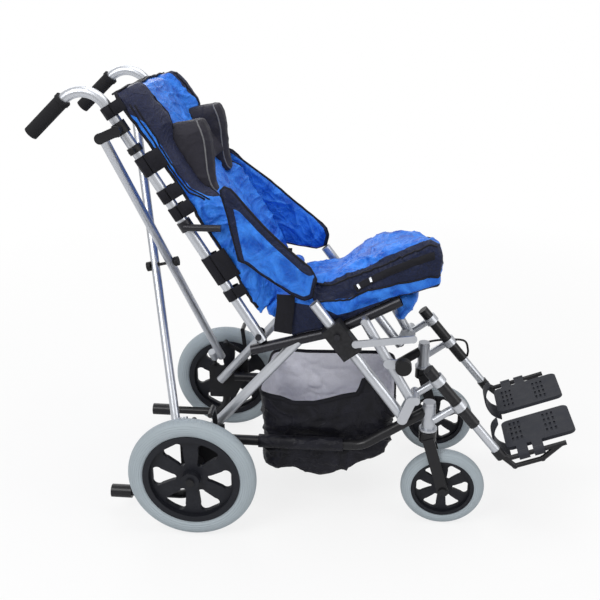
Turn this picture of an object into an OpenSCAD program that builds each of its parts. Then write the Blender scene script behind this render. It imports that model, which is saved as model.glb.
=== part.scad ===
// Special needs stroller: a widthways folding tube frame on four wheels,
// with a reclined sling seat, side wings, head support, basket and footplates.
// The frame's own zero is on the floor under the middle of the rear axle:
// +X forward, +Y to the rider's left, +Z up. frame_x then centres the part on X.
// Every side piece is drawn on the left (+Y) and mirrored for the right.

/* [Rear wheels] */
// Outside diameter of a rear tyre
rear_wheel_d = 315; // [290:1:330]
// Width of a rear tyre's round section
rear_tyre_w = 44; // [38:1:48]
// Distance between the middles of the rear tyres
rear_track = 544; // [540:1:600]
// Diameter of the rear axles
rear_axle_d = 12; // [10:0.5:14]

/* [Front wheels] */
// Outside diameter of a front tyre
front_wheel_d = 206; // [190:1:208]
// Width of a front tyre's round section
front_tyre_w = 36; // [30:1:38]
// Distance between the two swivel stems
front_track = 344; // [336:1:356]
// Diameter of the front axles
front_axle_d = 10; // [8:0.5:12]
// Distance from the rear axles to the front axles, wheels trailing forward
wheelbase = 608; // [600:1:640]
// Distance from a swivel stem to its front axle
caster_trail = 43; // [36:1:48]

/* [Side frames] */
// Outside diameter of the frame tubes
tube_d = 25; // [22:0.5:26]
// Wall of the frame tubes
tube_wall = 2; // [1.5:0.1:3]
// Distance between the two inner rows of frame tubes
frame_w = 356; // [352:1:360]
// Diameter of the crossed tubes at the rear
brace_d = 22; // [19:0.5:24]

/* [Back and handles] */
// Lean of the back tubes from upright, in degrees
back_tilt = 31.6; // [28:0.1:34]
// Length of a back tube from its foot to the handle's corner
back_len = 698; // [680:1:720]
// Bend radius where a back tube turns into the handle
handle_bend = 60; // [50:1:65]
// Slope of the grips below level, in degrees
grip_drop = 43; // [35:1:50]
// Length of a grip
grip_len = 112; // [100:1:130]
// Diameter of a grip
grip_d = 33; // [30:0.5:36]

/* [Seat and back pads] */
// Width across the backrest
back_pad_w = 372; // [340:1:376]
// Height of the backrest along the back tubes
back_pad_h = 592; // [560:1:600]
// Thickness of the backrest at its middle
back_pad_t = 44; // [36:1:50]
// How far the backrest's side rolls stand out in front of its middle
back_roll = 26; // [10:1:30]
// Thickness of a side wing
wing_t = 18; // [12:1:20]
// Height of a head pad
head_pad_h = 160; // [140:1:170]
// Thickness of a head pad
head_pad_t = 54; // [40:1:60]

/* [Footrests] */
// Distance between the middles of the two footrest hangers
hanger_w = 368; // [360:1:372]
// Slope of a hanger below level, in degrees
hanger_slope = 50.2; // [48:0.1:52]
// Diameter of the inner footrest tube
foot_tube_d = 22; // [20:0.5:23]
// Length of a footplate, heel to toe
plate_len = 171; // [150:1:180]
// Width of a footplate
plate_w = 127; // [110:1:130]
// Toe-up slope of a footplate, in degrees
plate_rise = 21.6; // [18:0.1:24]
// Thickness of a footplate's deck
plate_t = 9; // [7:0.5:11]

/* [Basket] */
// Length of the basket at its rim
basket_len = 340; // [300:1:345]
// Height of the basket's rim above the floor
basket_rim_z = 300; // [285:1:305]
// Height of the basket's lowest point above the floor
basket_low_z = 108; // [95:1:125]
// Thickness of the basket's cloth with its lining
basket_t = 4; // [3:0.5:6]

/* [Hidden] */
$fn = 48;

left = 1;
right = -1;

// Clearances
running_gap = 0.05;
slide_gap = 0.08;
fit_gap = 0.15;
soft_gap = 0.3;
part_gap = 1;
cut_over = 2;

// Derived from the wheels
rear_axle_z = rear_wheel_d / 2;
rear_y = rear_track / 2;
front_axle_z = front_wheel_d / 2;
front_y = front_track / 2;
stem_x = wheelbase - caster_trail;

// Rows of tubes, measured out from the middle
rail_y = frame_w / 2;
leg_y = rail_y + tube_d + part_gap;
hanger_y = hanger_w / 2;

// Wheels
rim_seat_share = 0.755;
rear_hub_d = 44;
rear_hub_w = 50;
rear_rim_w = 34;
rear_rim_wall = 15;
disc_t = 12;
window_count = 6;
window_far_share = 0.71;
window_near_share = 0.39;
window_spread_share = 0.115;
window_far_r_share = 0.105;
window_near_r_share = 0.075;
front_hub_d = 30;
front_hub_w = 40;
front_rim_w = 26;
front_rim_wall = 9;
front_disc_t = 9;
axle_nut_d = 20;
axle_nut_t = 5;

// Front fork and its housing
stem_d = 16;
stem_len = 46;
crown_d = 42;
crown_z = 247;
crown_t = 30;
fork_leg_t = 5;
fork_leg_w = 30;
fork_side_gap = 1.5;
housing_d = 32;
housing_z = 262.3;
housing_h = 66;
cap_h = 9;
flange_d = 44;
flange_t = 5;

// Side frame: places are [x, z] in the frame's own zero, and those whose name
// ends in _at are measured forward from the swivel stem
function from_stem(p) = [stem_x + p[0], p[1]];
back_foot = [157, 498];
rail_rear = [138, 458];
rail_kink_at = [-235, 513];
rail_kink = from_stem(rail_kink_at);
rail_front_at = [-79, 597];
rail_front = from_stem(rail_front_at);
rail_bend = 90;
lower_rail_z = 207;
lower_rail_rear_x = 34;
lower_rail_kink_back = 160;
lower_rail_kink_x = stem_x - lower_rail_kink_back;
lower_rail_end_z = 316;
lower_rail_bend = 70;
front_leg_top_at = [-278, 594];
front_leg_top = from_stem(front_leg_top_at);
front_leg_end_at = [-65, 311];
front_leg_end = from_stem(front_leg_end_at);
strut_top_at = [-161, 556];
strut_top = from_stem(strut_top_at);
strut_end_at = [-47, 358];
strut_end = from_stem(strut_end_at);
strut_d = 23;
link_drop = 45;
rear_leg_foot = [-10, 190];
rear_leg_end_x = 252;
leg_clamp_w = 50;
leg_clamp_from = 66;
leg_clamp_len = 88;
leg_clamp_wall = 4.5;
link_t = 5;
link_w = 18;
link_rear_at = [-179, 504];
link_rear = from_stem(link_rear_at);
link_front_at = [-49, 522];
link_front = from_stem(link_front_at);
bolt_d = 8;
back_pin_d = 10;
back_tail = 16;
bolt_head_d = 15;
bolt_head_t = 5;
knob_d = 38;
knob_t = 20;
knob_place_at = [-68, 453];
knob_place = from_stem(knob_place_at);
knob_neck_d = 10;
knob_arm = 34;
knob_arm_w = 24;
clamp_wall = 4;

// Axle bracket, brake and anti-tip tube
plate_gap = 0.3;
bracket_t = 8;
bracket_drop = 28;
boss_d = 30;
ball_d = 16;
ball_arm_d = 10;
brake_pivot = [58, 250];
brake_pin_d = 8;
brake_y = 228;
brake_t = 6;
brake_w = 22;
brake_bar_place = [50, 327.5];
brake_bar_d = 12;
brake_pedal_place = [0, 285];
brake_head_t = 3;
anti_tip_y = 214;
anti_tip_d = 22;
anti_tip_z = 66;
anti_tip_back = 222;
anti_tip_bend = 48;
anti_tip_end_d = 33;
anti_tip_end_len = 52;

// Crossed tubes: places of their lower and upper ends
brace_low = [-28, 248];
brace_high = [-194.5, 961];
brace_y = leg_y;
brace_offset = 20;
brace_cap_d = 24;
brace_bolt_d = 8;
brace_hole_d = 16;
brace_knob_d = 24;
brace_knob_t = 10;
brace_room = 3.5;
brace_foot = 30;

// Back, measured up a back tube from its foot
clamp_u = 567;
clamp_h = 28;
clamp_pad_t = 6;
clamp_post_d = 18;
catch_u = 513;
catch_h = 16;
catch_knob_d = 14;
catch_knob_t = 14;
bar_u = 312;
bar_h = 24;
bar_d = 16;
bar_len = 84;
bar_y = rail_y + 19;
strap_t = 4;
strap_places = [[609, 28], [470, 46], [392, 32], [346, 32], [190, 72], [120, 28]];
grip_wall = 4;
grip_rim = 4;
back_pad_rear = 24;
back_pad_low = 42;
back_corner_share = 0.22;
wing_gap = 0.4;
head_u = 342;
head_inner = 76;
head_low_w = 98;
head_band_half = 101;
head_depth_low = 30;
head_depth_high = 92;

// Seat: heights of its middle line along X
seat_rear_x = 222;
seat_over_stem = 8;
seat_front_x = stem_x + seat_over_stem;
seat_top_rear = 605;
seat_top_step = 655;
seat_top_front = 706;
seat_edge_rise = 16;
seat_sink = 16;
seat_front_drop = 24;

// Footrest
hanger_top_at = [-3, 422];
hanger_top = from_stem(hanger_top_at);
sleeve_d = 28;
sleeve_len = 176;
hanger_len = 262;
stub_d = 18;
stub_boss_d = 21;
stub_ring_w = 20;
stub_high = 28;
stub_high_end_at = [-36, 362];
stub_high_end = from_stem(stub_high_end_at);
stub_low = 111;
stub_low_end_at = [12, 294];
stub_low_end = from_stem(stub_low_end_at);
support_d = 15;
loop_d = 13;
support_hub_d = 27;
support_hub_h = 34;
pin_d = 12;
heel_at = [198, 199];
heel = from_stem(heel_at);
plate_inner = 26;
plate_corner = 16;
lug_len = 26;
lug_d = 22;
lug_places_share = [0.14, 0.36];
loop_drop = 27;
loop_share = [0.1, 0.5, 0.74];
pin_share = 0.82;
slot_w = 5;
slot_len = 16;
slot_deep = 3;
slot_rows = 3;
slot_cols = 4;
slot_share = [0.08, 0.58];

function dir(a) = [cos(a), sin(a)];
function angle_of(p, q) = atan2(q[1] - p[1], q[0] - p[0]);
function span(p, q) = norm(q - p);
function at_share(p, q, s) = p + (q - p) * s;
function wrap(a) = a - 360 * round(a / 360);
function smooth(t) = let(c = max(0, min(1, t))) c * c * (3 - 2 * c);
function back_dir() = [-sin(back_tilt), cos(back_tilt)];
function back_point(u) = back_foot + back_dir() * u;
function rail_z(x) = x < rail_kink[0]
    ? rail_rear[1] + (x - rail_rear[0]) * (rail_kink[1] - rail_rear[1]) / (rail_kink[0] - rail_rear[0])
    : rail_kink[1] + (x - rail_kink[0]) * (rail_front[1] - rail_kink[1]) / (rail_front[0] - rail_kink[0]);

// Places worked out from the ones above
handle_corner = back_point(back_len);
grip_angle = 180 + grip_drop;
handle_turn = grip_angle - (90 + back_tilt);
handle_tangent = handle_bend * tan(handle_turn / 2);
grip_start = handle_corner + dir(grip_angle) * (handle_tangent + part_gap);
grip_end = grip_start + dir(grip_angle) * grip_len;
grip_round = grip_d / 2;
brace_lean = angle_of(brace_low, brace_high);
brace_normal = dir(brace_lean - 90);
brace_mid = at_share(brace_low, brace_high, 0.5);
hanger_dir = dir(-hanger_slope);
hanger_end = hanger_top + hanger_dir * hanger_len;
toe = heel + dir(plate_rise) * plate_len;
part_low_x = grip_end[0] - grip_round * sin(grip_drop);
part_high_x = toe[0];
frame_x = -(part_low_x + part_high_x) / 2;

// Helpers
module placed(side) {
    translate([frame_x, 0, 0])
        mirror([0, side == right ? 1 : 0, 0])
            children();
}

// Stands a flat XY drawing up in the XZ plane, its thickness along +Y from y
module upright(y, t = 0) {
    translate([0, y + t, 0])
        rotate([90, 0, 0])
            children();
}

// A pin, boss or bore along Y, at place [x, z], from y to y + h
module cross_pin(place, y, h, d) {
    translate([place[0], y, place[1]])
        rotate([-90, 0, 0])
            cylinder(h = h, d = d);
}

module ring_2d(d, wall) {
    difference() {
        circle(d = d);
        if (d > 2 * wall) circle(d = d - 2 * wall);
    }
}

// A straight tube in the XZ plane at y, from p to q
module tube_xz(p, q, y, d, wall) {
    translate([p[0], y, p[1]])
        rotate([0, 90 - angle_of(p, q), 0])
            linear_extrude(height = span(p, q))
                ring_2d(d, wall);
}

module rod_xz(p, q, y, d) {
    translate([p[0], y, p[1]])
        rotate([0, 90 - angle_of(p, q), 0])
            cylinder(h = span(p, q), d = d);
}

// A tube bent in the XZ plane through the points of path, with radius r at each bend
module bent_tube(path, r, y, d, wall) {
    last = len(path) - 1;
    angles = [for (i = [0:last - 1]) angle_of(path[i], path[i + 1])];
    turns = [for (i = [0:last]) i == 0 || i == last ? 0 : wrap(angles[i] - angles[i - 1])];
    trims = [for (i = [0:last]) r * tan(abs(turns[i]) / 2)];
    for (i = [0:last - 1]) {
        a = path[i] + dir(angles[i]) * trims[i];
        b = path[i + 1] - dir(angles[i]) * trims[i + 1];
        tube_xz(a, b, y, d, wall);
    }
    for (i = [1:1:last - 1]) {
        s = sign(turns[i]);
        start = path[i] - dir(angles[i - 1]) * trims[i];
        centre = start + dir(angles[i - 1] + s * 90) * r;
        translate([centre[0], y, centre[1]])
            rotate([90, 0, 0])
                rotate([0, 0, angles[i - 1] - s * 90])
                    rotate_extrude(angle = turns[i], $fn = 96)
                        translate([r, 0])
                            ring_2d(d, wall);
    }
}

// A bolt across tube rows, with a round head at its outer end
module bolt(place, y_in, y_out, d = bolt_d) {
    cross_pin(place, y_in, y_out - y_in, d);
    cross_pin(place, y_out, bolt_head_t, bolt_head_d);
}

// The back's own axes: X in front of the tube, Z up the tube from its foot
module on_back() {
    translate([back_foot[0], 0, back_foot[1]])
        rotate([0, -back_tilt, 0])
            children();
}

// A closed form between two grids of (n + 1) * (m + 1) points that share their outline
module pad_form(front, rear, n, m) {
    w = m + 1;
    k = (n + 1) * w;
    faces = concat(
        [for (i = [0:n - 1], j = [0:m - 1]) each [
            [i * w + j, (i + 1) * w + j, (i + 1) * w + j + 1],
            [i * w + j, (i + 1) * w + j + 1, i * w + j + 1]]],
        [for (i = [0:n - 1], j = [0:m - 1]) each [
            [k + i * w + j, k + (i + 1) * w + j + 1, k + (i + 1) * w + j],
            [k + i * w + j, k + i * w + j + 1, k + (i + 1) * w + j + 1]]],
        [for (i = [0:n - 1]) each [
            [i * w, k + i * w, k + (i + 1) * w],
            [i * w, k + (i + 1) * w, (i + 1) * w],
            [i * w + m, k + (i + 1) * w + m, k + i * w + m],
            [i * w + m, (i + 1) * w + m, k + (i + 1) * w + m]]],
        [for (j = [0:m - 1]) each [
            [j, k + j + 1, k + j],
            [j, j + 1, k + j + 1],
            [n * w + j, k + n * w + j, k + n * w + j + 1],
            [n * w + j, k + n * w + j + 1, n * w + j + 1]]]
    );
    polyhedron(points = concat(front, rear), faces = faces, convexity = 6);
}

// Wheels
module tyre(wheel_d, section_w, seat_d) {
    rotate([90, 0, 0])
        rotate_extrude($fn = 120)
            intersection() {
                translate([wheel_d / 2 - section_w / 2, 0])
                    circle(d = section_w);
                translate([seat_d / 2, -section_w])
                    square([section_w, 2 * section_w]);
            }
}

module rim(seat_d, rim_w, wall, hub_d, hub_w, disc, bore_d) {
    rotate([90, 0, 0])
        difference() {
            union() {
                rotate_extrude($fn = 120) {
                    translate([seat_d / 2 - fit_gap - wall, -rim_w / 2])
                        square([wall, rim_w]);
                }
                cylinder(h = disc, d = seat_d - wall, center = true);
                cylinder(h = hub_w, d = hub_d, center = true);
            }
            cylinder(h = hub_w + cut_over, d = bore_d, center = true);
            for (i = [0:window_count - 1])
                rotate([0, 0, i * 360 / window_count])
                    window(seat_d / 2, disc + cut_over);
        }
}

// A rounded window in a wheel's disc, wide at the rim and narrow at the hub
module window(r, h) {
    far = r * window_far_share;
    near = r * window_near_share;
    aside = r * window_spread_share;
    far_r = r * window_far_r_share;
    near_r = r * window_near_r_share;
    inset = cut_over / 10;
    translate([near, 0, 0])
        cylinder(h = h, r = near_r, center = true);
    for (s = [-1, 1])
        translate([far, s * aside, 0])
            cylinder(h = h, r = far_r, center = true);
    translate([0, 0, -h / 2])
        linear_extrude(height = h)
            polygon([
                [near, inset - near_r], [far, inset - aside - far_r],
                [far + far_r - inset, -aside], [far + far_r - inset, aside],
                [far, aside + far_r - inset], [near, near_r - inset]]);
}

module rear_tyre(side) {
    color("silver")
        placed(side)
            translate([0, rear_y, rear_axle_z])
                tyre(rear_wheel_d, rear_tyre_w, rear_wheel_d * rim_seat_share);
}

module rear_rim(side) {
    color([0.1, 0.1, 0.11])
        placed(side)
            translate([0, rear_y, rear_axle_z])
                rim(rear_wheel_d * rim_seat_share, rear_rim_w, rear_rim_wall, rear_hub_d,
                    rear_hub_w, disc_t, rear_axle_d + 2 * running_gap);
}

module front_tyre(side) {
    color("silver")
        placed(side)
            translate([wheelbase, front_y, front_axle_z])
                tyre(front_wheel_d, front_tyre_w, front_wheel_d * rim_seat_share);
}

module front_rim(side) {
    color([0.1, 0.1, 0.11])
        placed(side)
            translate([wheelbase, front_y, front_axle_z])
                rim(front_wheel_d * rim_seat_share, front_rim_w, front_rim_wall, front_hub_d,
                    front_hub_w, front_disc_t, front_axle_d + 2 * running_gap);
}

// Fork: crown, stem, two flat legs and the axle between them
module caster_fork(side) {
    leg_in = front_hub_w / 2 + fork_side_gap;
    crown_low = crown_z - crown_t / 2;
    color([0.12, 0.12, 0.13])
        placed(side)
            translate([0, front_y, 0]) {
                translate([stem_x, 0, crown_low])
                    cylinder(h = crown_t, d = crown_d);
                translate([stem_x, 0, crown_low])
                    cylinder(h = crown_t + stem_len, d = stem_d);
                for (s = [-1, 1])
                    upright(s > 0 ? leg_in : -leg_in - fork_leg_t, fork_leg_t)
                        linear_extrude(height = fork_leg_t)
                            translate([wheelbase, front_axle_z]) {
                                rotate([0, 0, angle_of([wheelbase, front_axle_z], [stem_x, crown_z])])
                                    translate([0, -fork_leg_w / 2 + part_gap])
                                        square([span([wheelbase, front_axle_z], [stem_x, crown_z]),
                                                fork_leg_w - 2 * part_gap]);
                                circle(d = fork_leg_w);
                            }
                translate([stem_x - crown_d / 4, -leg_in - fork_leg_t / 2, crown_low + part_gap])
                    cube([crown_d / 2, 2 * leg_in + fork_leg_t, crown_t - 2 * part_gap]);
                translate([wheelbase, -leg_in - fork_leg_t - axle_nut_t, front_axle_z])
                    rotate([-90, 0, 0])
                        cylinder(h = 2 * (leg_in + fork_leg_t + axle_nut_t), d = front_axle_d);
                for (s = [-1, 1])
                    cross_pin([wheelbase, front_axle_z],
                        s > 0 ? leg_in + fork_leg_t - part_gap : -leg_in - fork_leg_t - axle_nut_t,
                        axle_nut_t + part_gap, axle_nut_d);
            }
}

// Swivel housing with its flange, top cap and the lower clamp for the hanger
module caster_housing(side) {
    stem_top = crown_z + crown_t / 2 + stem_len;
    color([0.75, 0.77, 0.8])
        placed(side)
            difference() {
                union() {
                    translate([stem_x, front_y, housing_z])
                        cylinder(h = housing_h, d = housing_d);
                    translate([stem_x, front_y, housing_z])
                        cylinder(h = flange_t, d = flange_d);
                    translate([stem_x, front_y, housing_z + housing_h])
                        cylinder(h = cap_h, d = housing_d - 2 * part_gap);
                    stub(stub_low, stub_low_end);
                }
                translate([stem_x, front_y, housing_z - cut_over])
                    cylinder(h = stem_top - housing_z + 2 * cut_over, d = stem_d + 2 * running_gap);
                rod_xz(hanger_top - hanger_dir * cut_over, hanger_end, hanger_y,
                    sleeve_d + 2 * fit_gap);
            }
}

// A clamp ring round the hanger with a short arm, from place u along the hanger to end
module stub(u, end) {
    at = hanger_top + hanger_dir * u;
    rod_xz(at - hanger_dir * stub_ring_w / 2, at + hanger_dir * stub_ring_w / 2, hanger_y,
        sleeve_d + 2 * clamp_wall);
    rod_xz(at, end, hanger_y, stub_d);
}

module front_leg(side) {
    color([0.78, 0.8, 0.83])
        placed(side)
            difference() {
                tube_xz(front_leg_top, front_leg_end, leg_y, tube_d, tube_wall);
                cross_pin(leg_pivot(), leg_y - tube_d, 2 * tube_d, bolt_d + 2 * fit_gap);
            }
}

// Where the front leg crosses the seat rail
function leg_pivot() =
    let (a = front_leg_top, b = front_leg_end,
         slope = (rail_front[1] - rail_kink[1]) / (rail_front[0] - rail_kink[0]),
         fall = (b[1] - a[1]) / (b[0] - a[0]),
         x = (rail_kink[1] - a[1] + fall * a[0] - slope * rail_kink[0]) / (fall - slope))
    [x, a[1] + fall * (x - a[0])];

module front_strut(side) {
    strut_out = leg_y + tube_d / 2;
    link_y = strut_out + leg_clamp_wall + soft_gap;
    a = angle_of(strut_top, strut_end);
    on_link = [strut_top[0] + link_drop / tan(-a), strut_top[1] - link_drop];
    color([0.68, 0.7, 0.74])
        placed(side)
            difference() {
                union() {
                    tube_xz(strut_top, strut_end, leg_y, strut_d, tube_wall);
                    cross_pin(strut_top, rail_y + tube_d / 2 + fit_gap, tube_d, bolt_head_d);
                    flat_bar(link_rear, link_front, link_y, link_w);
                    cross_pin(on_link, leg_y, link_y + link_t - leg_y, bolt_head_d);
                    flat_bar(strut_end, front_leg_end, strut_out + fit_gap, tube_d);
                    cross_pin(strut_end, leg_y - stub_d, strut_out + link_t - leg_y + stub_d, stub_boss_d);
                    cross_pin(stub_high_end, hanger_y - stub_d, leg_y - hanger_y + 2 * stub_d, stub_boss_d);
                    rod_xz(strut_end, stub_high_end, leg_y, stub_d);
                    stub(stub_high, stub_high_end);
                    flat_bar([knob_place[0] - knob_arm, knob_place[1]], knob_place,
                        strut_out - link_t, knob_arm_w);
                }
                rod_xz(hanger_top - hanger_dir * cut_over, hanger_end, hanger_y,
                    sleeve_d + 2 * fit_gap);
                cross_pin(knob_place, leg_y, tube_d, knob_neck_d + 2 * running_gap);
            }
}

// A flat bar with round ends on the outer side of the tubes, from p to q
module flat_bar(p, q, y, w) {
    upright(y, link_t)
        linear_extrude(height = link_t) {
            translate(p)
                rotate([0, 0, angle_of(p, q)])
                    translate([0, -w / 2 + part_gap / 2])
                        square([span(p, q), w - part_gap]);
            translate(p) circle(d = w);
            translate(q) circle(d = w);
        }
}

module leg_clamp(side) {
    a = angle_of(front_leg_top, front_leg_end);
    color([0.08, 0.08, 0.09])
        placed(side)
            difference() {
                translate([front_leg_top[0], leg_y, front_leg_top[1]])
                    rotate([0, 90 - a, 0])
                        translate([-leg_clamp_w / 2, -tube_d / 2 - leg_clamp_wall, leg_clamp_from])
                            cube([leg_clamp_w, tube_d + 2 * leg_clamp_wall, leg_clamp_len]);
                rod_xz(front_leg_top, front_leg_end, leg_y, tube_d + 2 * fit_gap);
                bent_tube([rail_rear, rail_kink, rail_front], rail_bend, rail_y,
                    tube_d + 2 * fit_gap, tube_d);
                cross_pin(leg_pivot(), leg_y - tube_d, 2 * tube_d, bolt_d + 2 * fit_gap);
            }
}

module frame_knob(side) {
    arm_out = leg_y + tube_d / 2;
    color([0.1, 0.1, 0.11])
        placed(side) {
            cross_pin(knob_place, arm_out + soft_gap, knob_t, knob_d);
            cross_pin(knob_place, leg_y, knob_t, knob_neck_d);
        }
}

module rear_leg(side) {
    end = [rear_leg_end_x, rail_z(rear_leg_end_x)];
    color([0.78, 0.8, 0.83])
        placed(side)
            difference() {
                tube_xz(rear_leg_foot, end, rail_y, tube_d, tube_wall);
                bent_tube([rail_rear, rail_kink, rail_front], rail_bend, rail_y,
                    tube_d + 2 * fit_gap, tube_d);
            }
}

module seat_rail(side) {
    plate_y = rail_y - tube_d / 2 - soft_gap - link_t;
    color([0.16, 0.16, 0.18])
        placed(side) {
            bent_tube([rail_rear, rail_kink, rail_front], rail_bend, rail_y, tube_d, tube_wall);
            bolt(leg_pivot(), rail_y, leg_y + tube_d / 2 + leg_clamp_wall + part_gap);
            flat_bar(rail_rear + [tube_d, tube_d / 4], back_foot, plate_y, tube_d);
            cross_pin(rail_rear + [tube_d, tube_d / 4], plate_y, tube_d / 2, bolt_head_d);
            cross_pin(back_foot, plate_y, tube_d + 2 * link_t, back_pin_d);
            cross_pin(back_foot, plate_y + tube_d + link_t + 2 * soft_gap, link_t, bolt_head_d);
        }
}

module lower_rail(side) {
    color([0.12, 0.12, 0.13])
        placed(side)
            difference() {
                bent_tube([[lower_rail_rear_x, lower_rail_z], [lower_rail_kink_x, lower_rail_z],
                           [stem_x, lower_rail_end_z]], lower_rail_bend, front_y, tube_d, tube_wall);
                translate([stem_x, front_y, 0])
                    cylinder(h = 2 * lower_rail_end_z, d = housing_d + 2 * fit_gap);
            }
}

// Rear corner: a plate that holds the leg, the axle, the brace's ball and the brake
module axle_bracket(side) {
    y0 = rail_y + tube_d / 2 + plate_gap;
    low_z = rear_axle_z - bracket_drop;
    ball = brace_low;
    shelf_z = ball[1] - 2 * ball_d;
    rail_side = front_y + tube_d / 2 + plate_gap;
    hub_side = rear_y - rear_hub_w / 2;
    color([0.09, 0.09, 0.1])
        placed(side) {
            upright(y0, bracket_t)
                linear_extrude(height = bracket_t)
                    polygon([
                        [ball[0] - ball_d, low_z],
                        [boss_d, low_z],
                        [brake_pivot[0] + brake_w / 2, brake_pivot[1] - 2 * brake_w],
                        [brake_pivot[0] + brake_w / 2, brake_pivot[1] + brake_w / 2],
                        [brake_pivot[0] - brake_w / 2, brake_pivot[1] + brake_w / 2],
                        [boss_d / 2, shelf_z + ball_arm_d],
                        [ball[0] - ball_d, shelf_z + ball_arm_d]]);
            cross_pin([0, rear_axle_z], y0, hub_side - plate_gap - y0, boss_d);
            cross_pin([0, rear_axle_z], y0, hub_side + rear_hub_w + plate_gap - y0, rear_axle_d);
            cross_pin([0, rear_axle_z], hub_side + rear_hub_w + plate_gap, axle_nut_t, axle_nut_d);
            translate([ball[0] - ball_arm_d, y0, shelf_z])
                cube([2 * ball_arm_d, brace_y + ball_arm_d - y0, ball_arm_d]);
            translate([ball[0], brace_y, shelf_z])
                cylinder(h = ball[1] - shelf_z, d = ball_arm_d);
            translate([ball[0], brace_y, ball[1]])
                sphere(d = ball_d);
            cross_pin(brake_pivot, y0, brake_y + brake_t + plate_gap - y0, brake_pin_d);
            cross_pin(brake_pivot, y0, brake_y - plate_gap - y0, 2 * brake_pin_d);
            cross_pin(brake_pivot, brake_y + brake_t + plate_gap, brake_head_t, 2 * brake_pin_d);
            translate([-anti_tip_d, y0, low_z])
                cube([2 * anti_tip_d, anti_tip_y + anti_tip_d / 2 - y0, bracket_t]);
            cross_pin([lower_rail_rear_x + boss_d / 2, lower_rail_z], rail_side, y0 + bracket_t - rail_side, brake_w);
        }
}

module brake_lever(side) {
    color([0.14, 0.14, 0.15])
        placed(side) {
            difference() {
                union() {
                    brake_arm(brake_bar_place);
                    brake_arm(brake_pedal_place);
                    cross_pin(brake_pivot, brake_y, brake_t, brake_w);
                }
                cross_pin(brake_pivot, brake_y - cut_over, brake_t + 2 * cut_over,
                    brake_pin_d + 2 * running_gap);
            }
            cross_pin(brake_bar_place, brake_y, rear_y - brake_y, brake_bar_d);
            cross_pin(brake_pedal_place, brake_y - brake_w / 2, brake_w, brake_bar_d);
        }
}

module brake_arm(end) {
    upright(brake_y, brake_t)
        linear_extrude(height = brake_t) {
            translate(brake_pivot)
                rotate([0, 0, angle_of(brake_pivot, end)])
                    translate([0, -brake_bar_d / 2 + part_gap / 2])
                        square([span(brake_pivot, end), brake_bar_d - part_gap]);
            translate(end) circle(d = brake_bar_d);
        }
}

module anti_tip(side) {
    color([0.1, 0.1, 0.11])
        placed(side) {
            bent_tube([[0, rear_axle_z - bracket_drop - plate_gap], [0, anti_tip_z],
                       [-anti_tip_back + anti_tip_end_len, anti_tip_z]],
                anti_tip_bend, anti_tip_y, anti_tip_d, tube_wall);
            rod_xz([-anti_tip_back + anti_tip_end_len, anti_tip_z], [-anti_tip_back, anti_tip_z],
                anti_tip_y, anti_tip_end_d);
        }
}

// Footrest
module hanger_sleeve(side) {
    color([0.1, 0.1, 0.11])
        placed(side) {
            tube_xz(hanger_top, hanger_top + hanger_dir * sleeve_len, hanger_y, sleeve_d,
                (sleeve_d - foot_tube_d) / 2 - slide_gap);
            rod_xz(hanger_top - hanger_dir * cap_h, hanger_top, hanger_y, sleeve_d);
        }
}

module foot_tube(side) {
    color([0.78, 0.8, 0.83])
        placed(side)
            tube_xz(hanger_top + hanger_dir * (hanger_len - sleeve_len), hanger_end, hanger_y,
                foot_tube_d, tube_wall);
}

// The line of the footplate's hinge pin, and the loop that stiffens it
function pin_at(s) = heel + dir(plate_rise) * (plate_len * s);

module plate_support(side) {
    low = hanger_end + hanger_dir * support_hub_h / 2;
    loop = [low, pin_at(loop_share[0]) - [0, loop_drop], pin_at(loop_share[1]) - [0, loop_drop],
            pin_at(loop_share[2])];
    color([0.09, 0.09, 0.1])
        placed(side) {
            rod_xz(hanger_end + hanger_dir * plate_gap, low + hanger_dir * support_d / 2, hanger_y,
                support_hub_d);
            rod_xz(low, pin_at(0), hanger_y, support_d);
            rod_xz(pin_at(0) - dir(plate_rise) * support_d / 2, pin_at(pin_share), hanger_y, pin_d);
            for (i = [0:len(loop) - 2])
                rod_xz(loop[i], loop[i + 1], hanger_y, i == 1 ? loop_d - part_gap : loop_d);
            for (i = [1:len(loop) - 2])
                translate([loop[i][0], hanger_y, loop[i][1]])
                    sphere(d = loop_d + 2 * part_gap);
        }
}

module footplate(side) {
    color([0.13, 0.14, 0.17])
        placed(side)
            translate([heel[0], 0, heel[1]])
                rotate([0, -plate_rise, 0]) {
                    difference() {
                        translate([0, plate_inner, 0])
                            linear_extrude(height = plate_t)
                                round_plate(plate_len, plate_w, plate_corner);
                        for (g = slot_share, r = [0:slot_rows - 1], c = [0:slot_cols - 1])
                            translate([plate_len * g + r * 2.2 * slot_w + slot_w,
                                       plate_inner + plate_corner + c * (plate_w - 2 * plate_corner) / slot_cols,
                                       plate_t - slot_deep])
                                cube([slot_w, slot_len, slot_deep + cut_over]);
                    }
                    for (s = lug_places_share)
                        difference() {
                            union() {
                                translate([plate_len * s, plate_inner + plate_w - plate_corner / 2, 0])
                                    cube([lug_len, hanger_y - plate_inner - plate_w + plate_corner / 2,
                                          plate_t]);
                                translate([plate_len * s, hanger_y, 0])
                                    rotate([0, 90, 0])
                                        cylinder(h = lug_len, d = lug_d);
                            }
                            translate([plate_len * s - cut_over, hanger_y, 0])
                                rotate([0, 90, 0])
                                    cylinder(h = lug_len + 2 * cut_over, d = pin_d + 2 * running_gap);
                        }
                }
}

module round_plate(l, w, r) {
    translate([r, 0]) square([l - 2 * r, w]);
    translate([0, r]) square([l, w - 2 * r]);
    for (x = [r, l - r], y = [r, w - r])
        translate([x, y]) circle(r = r);
}

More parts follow.
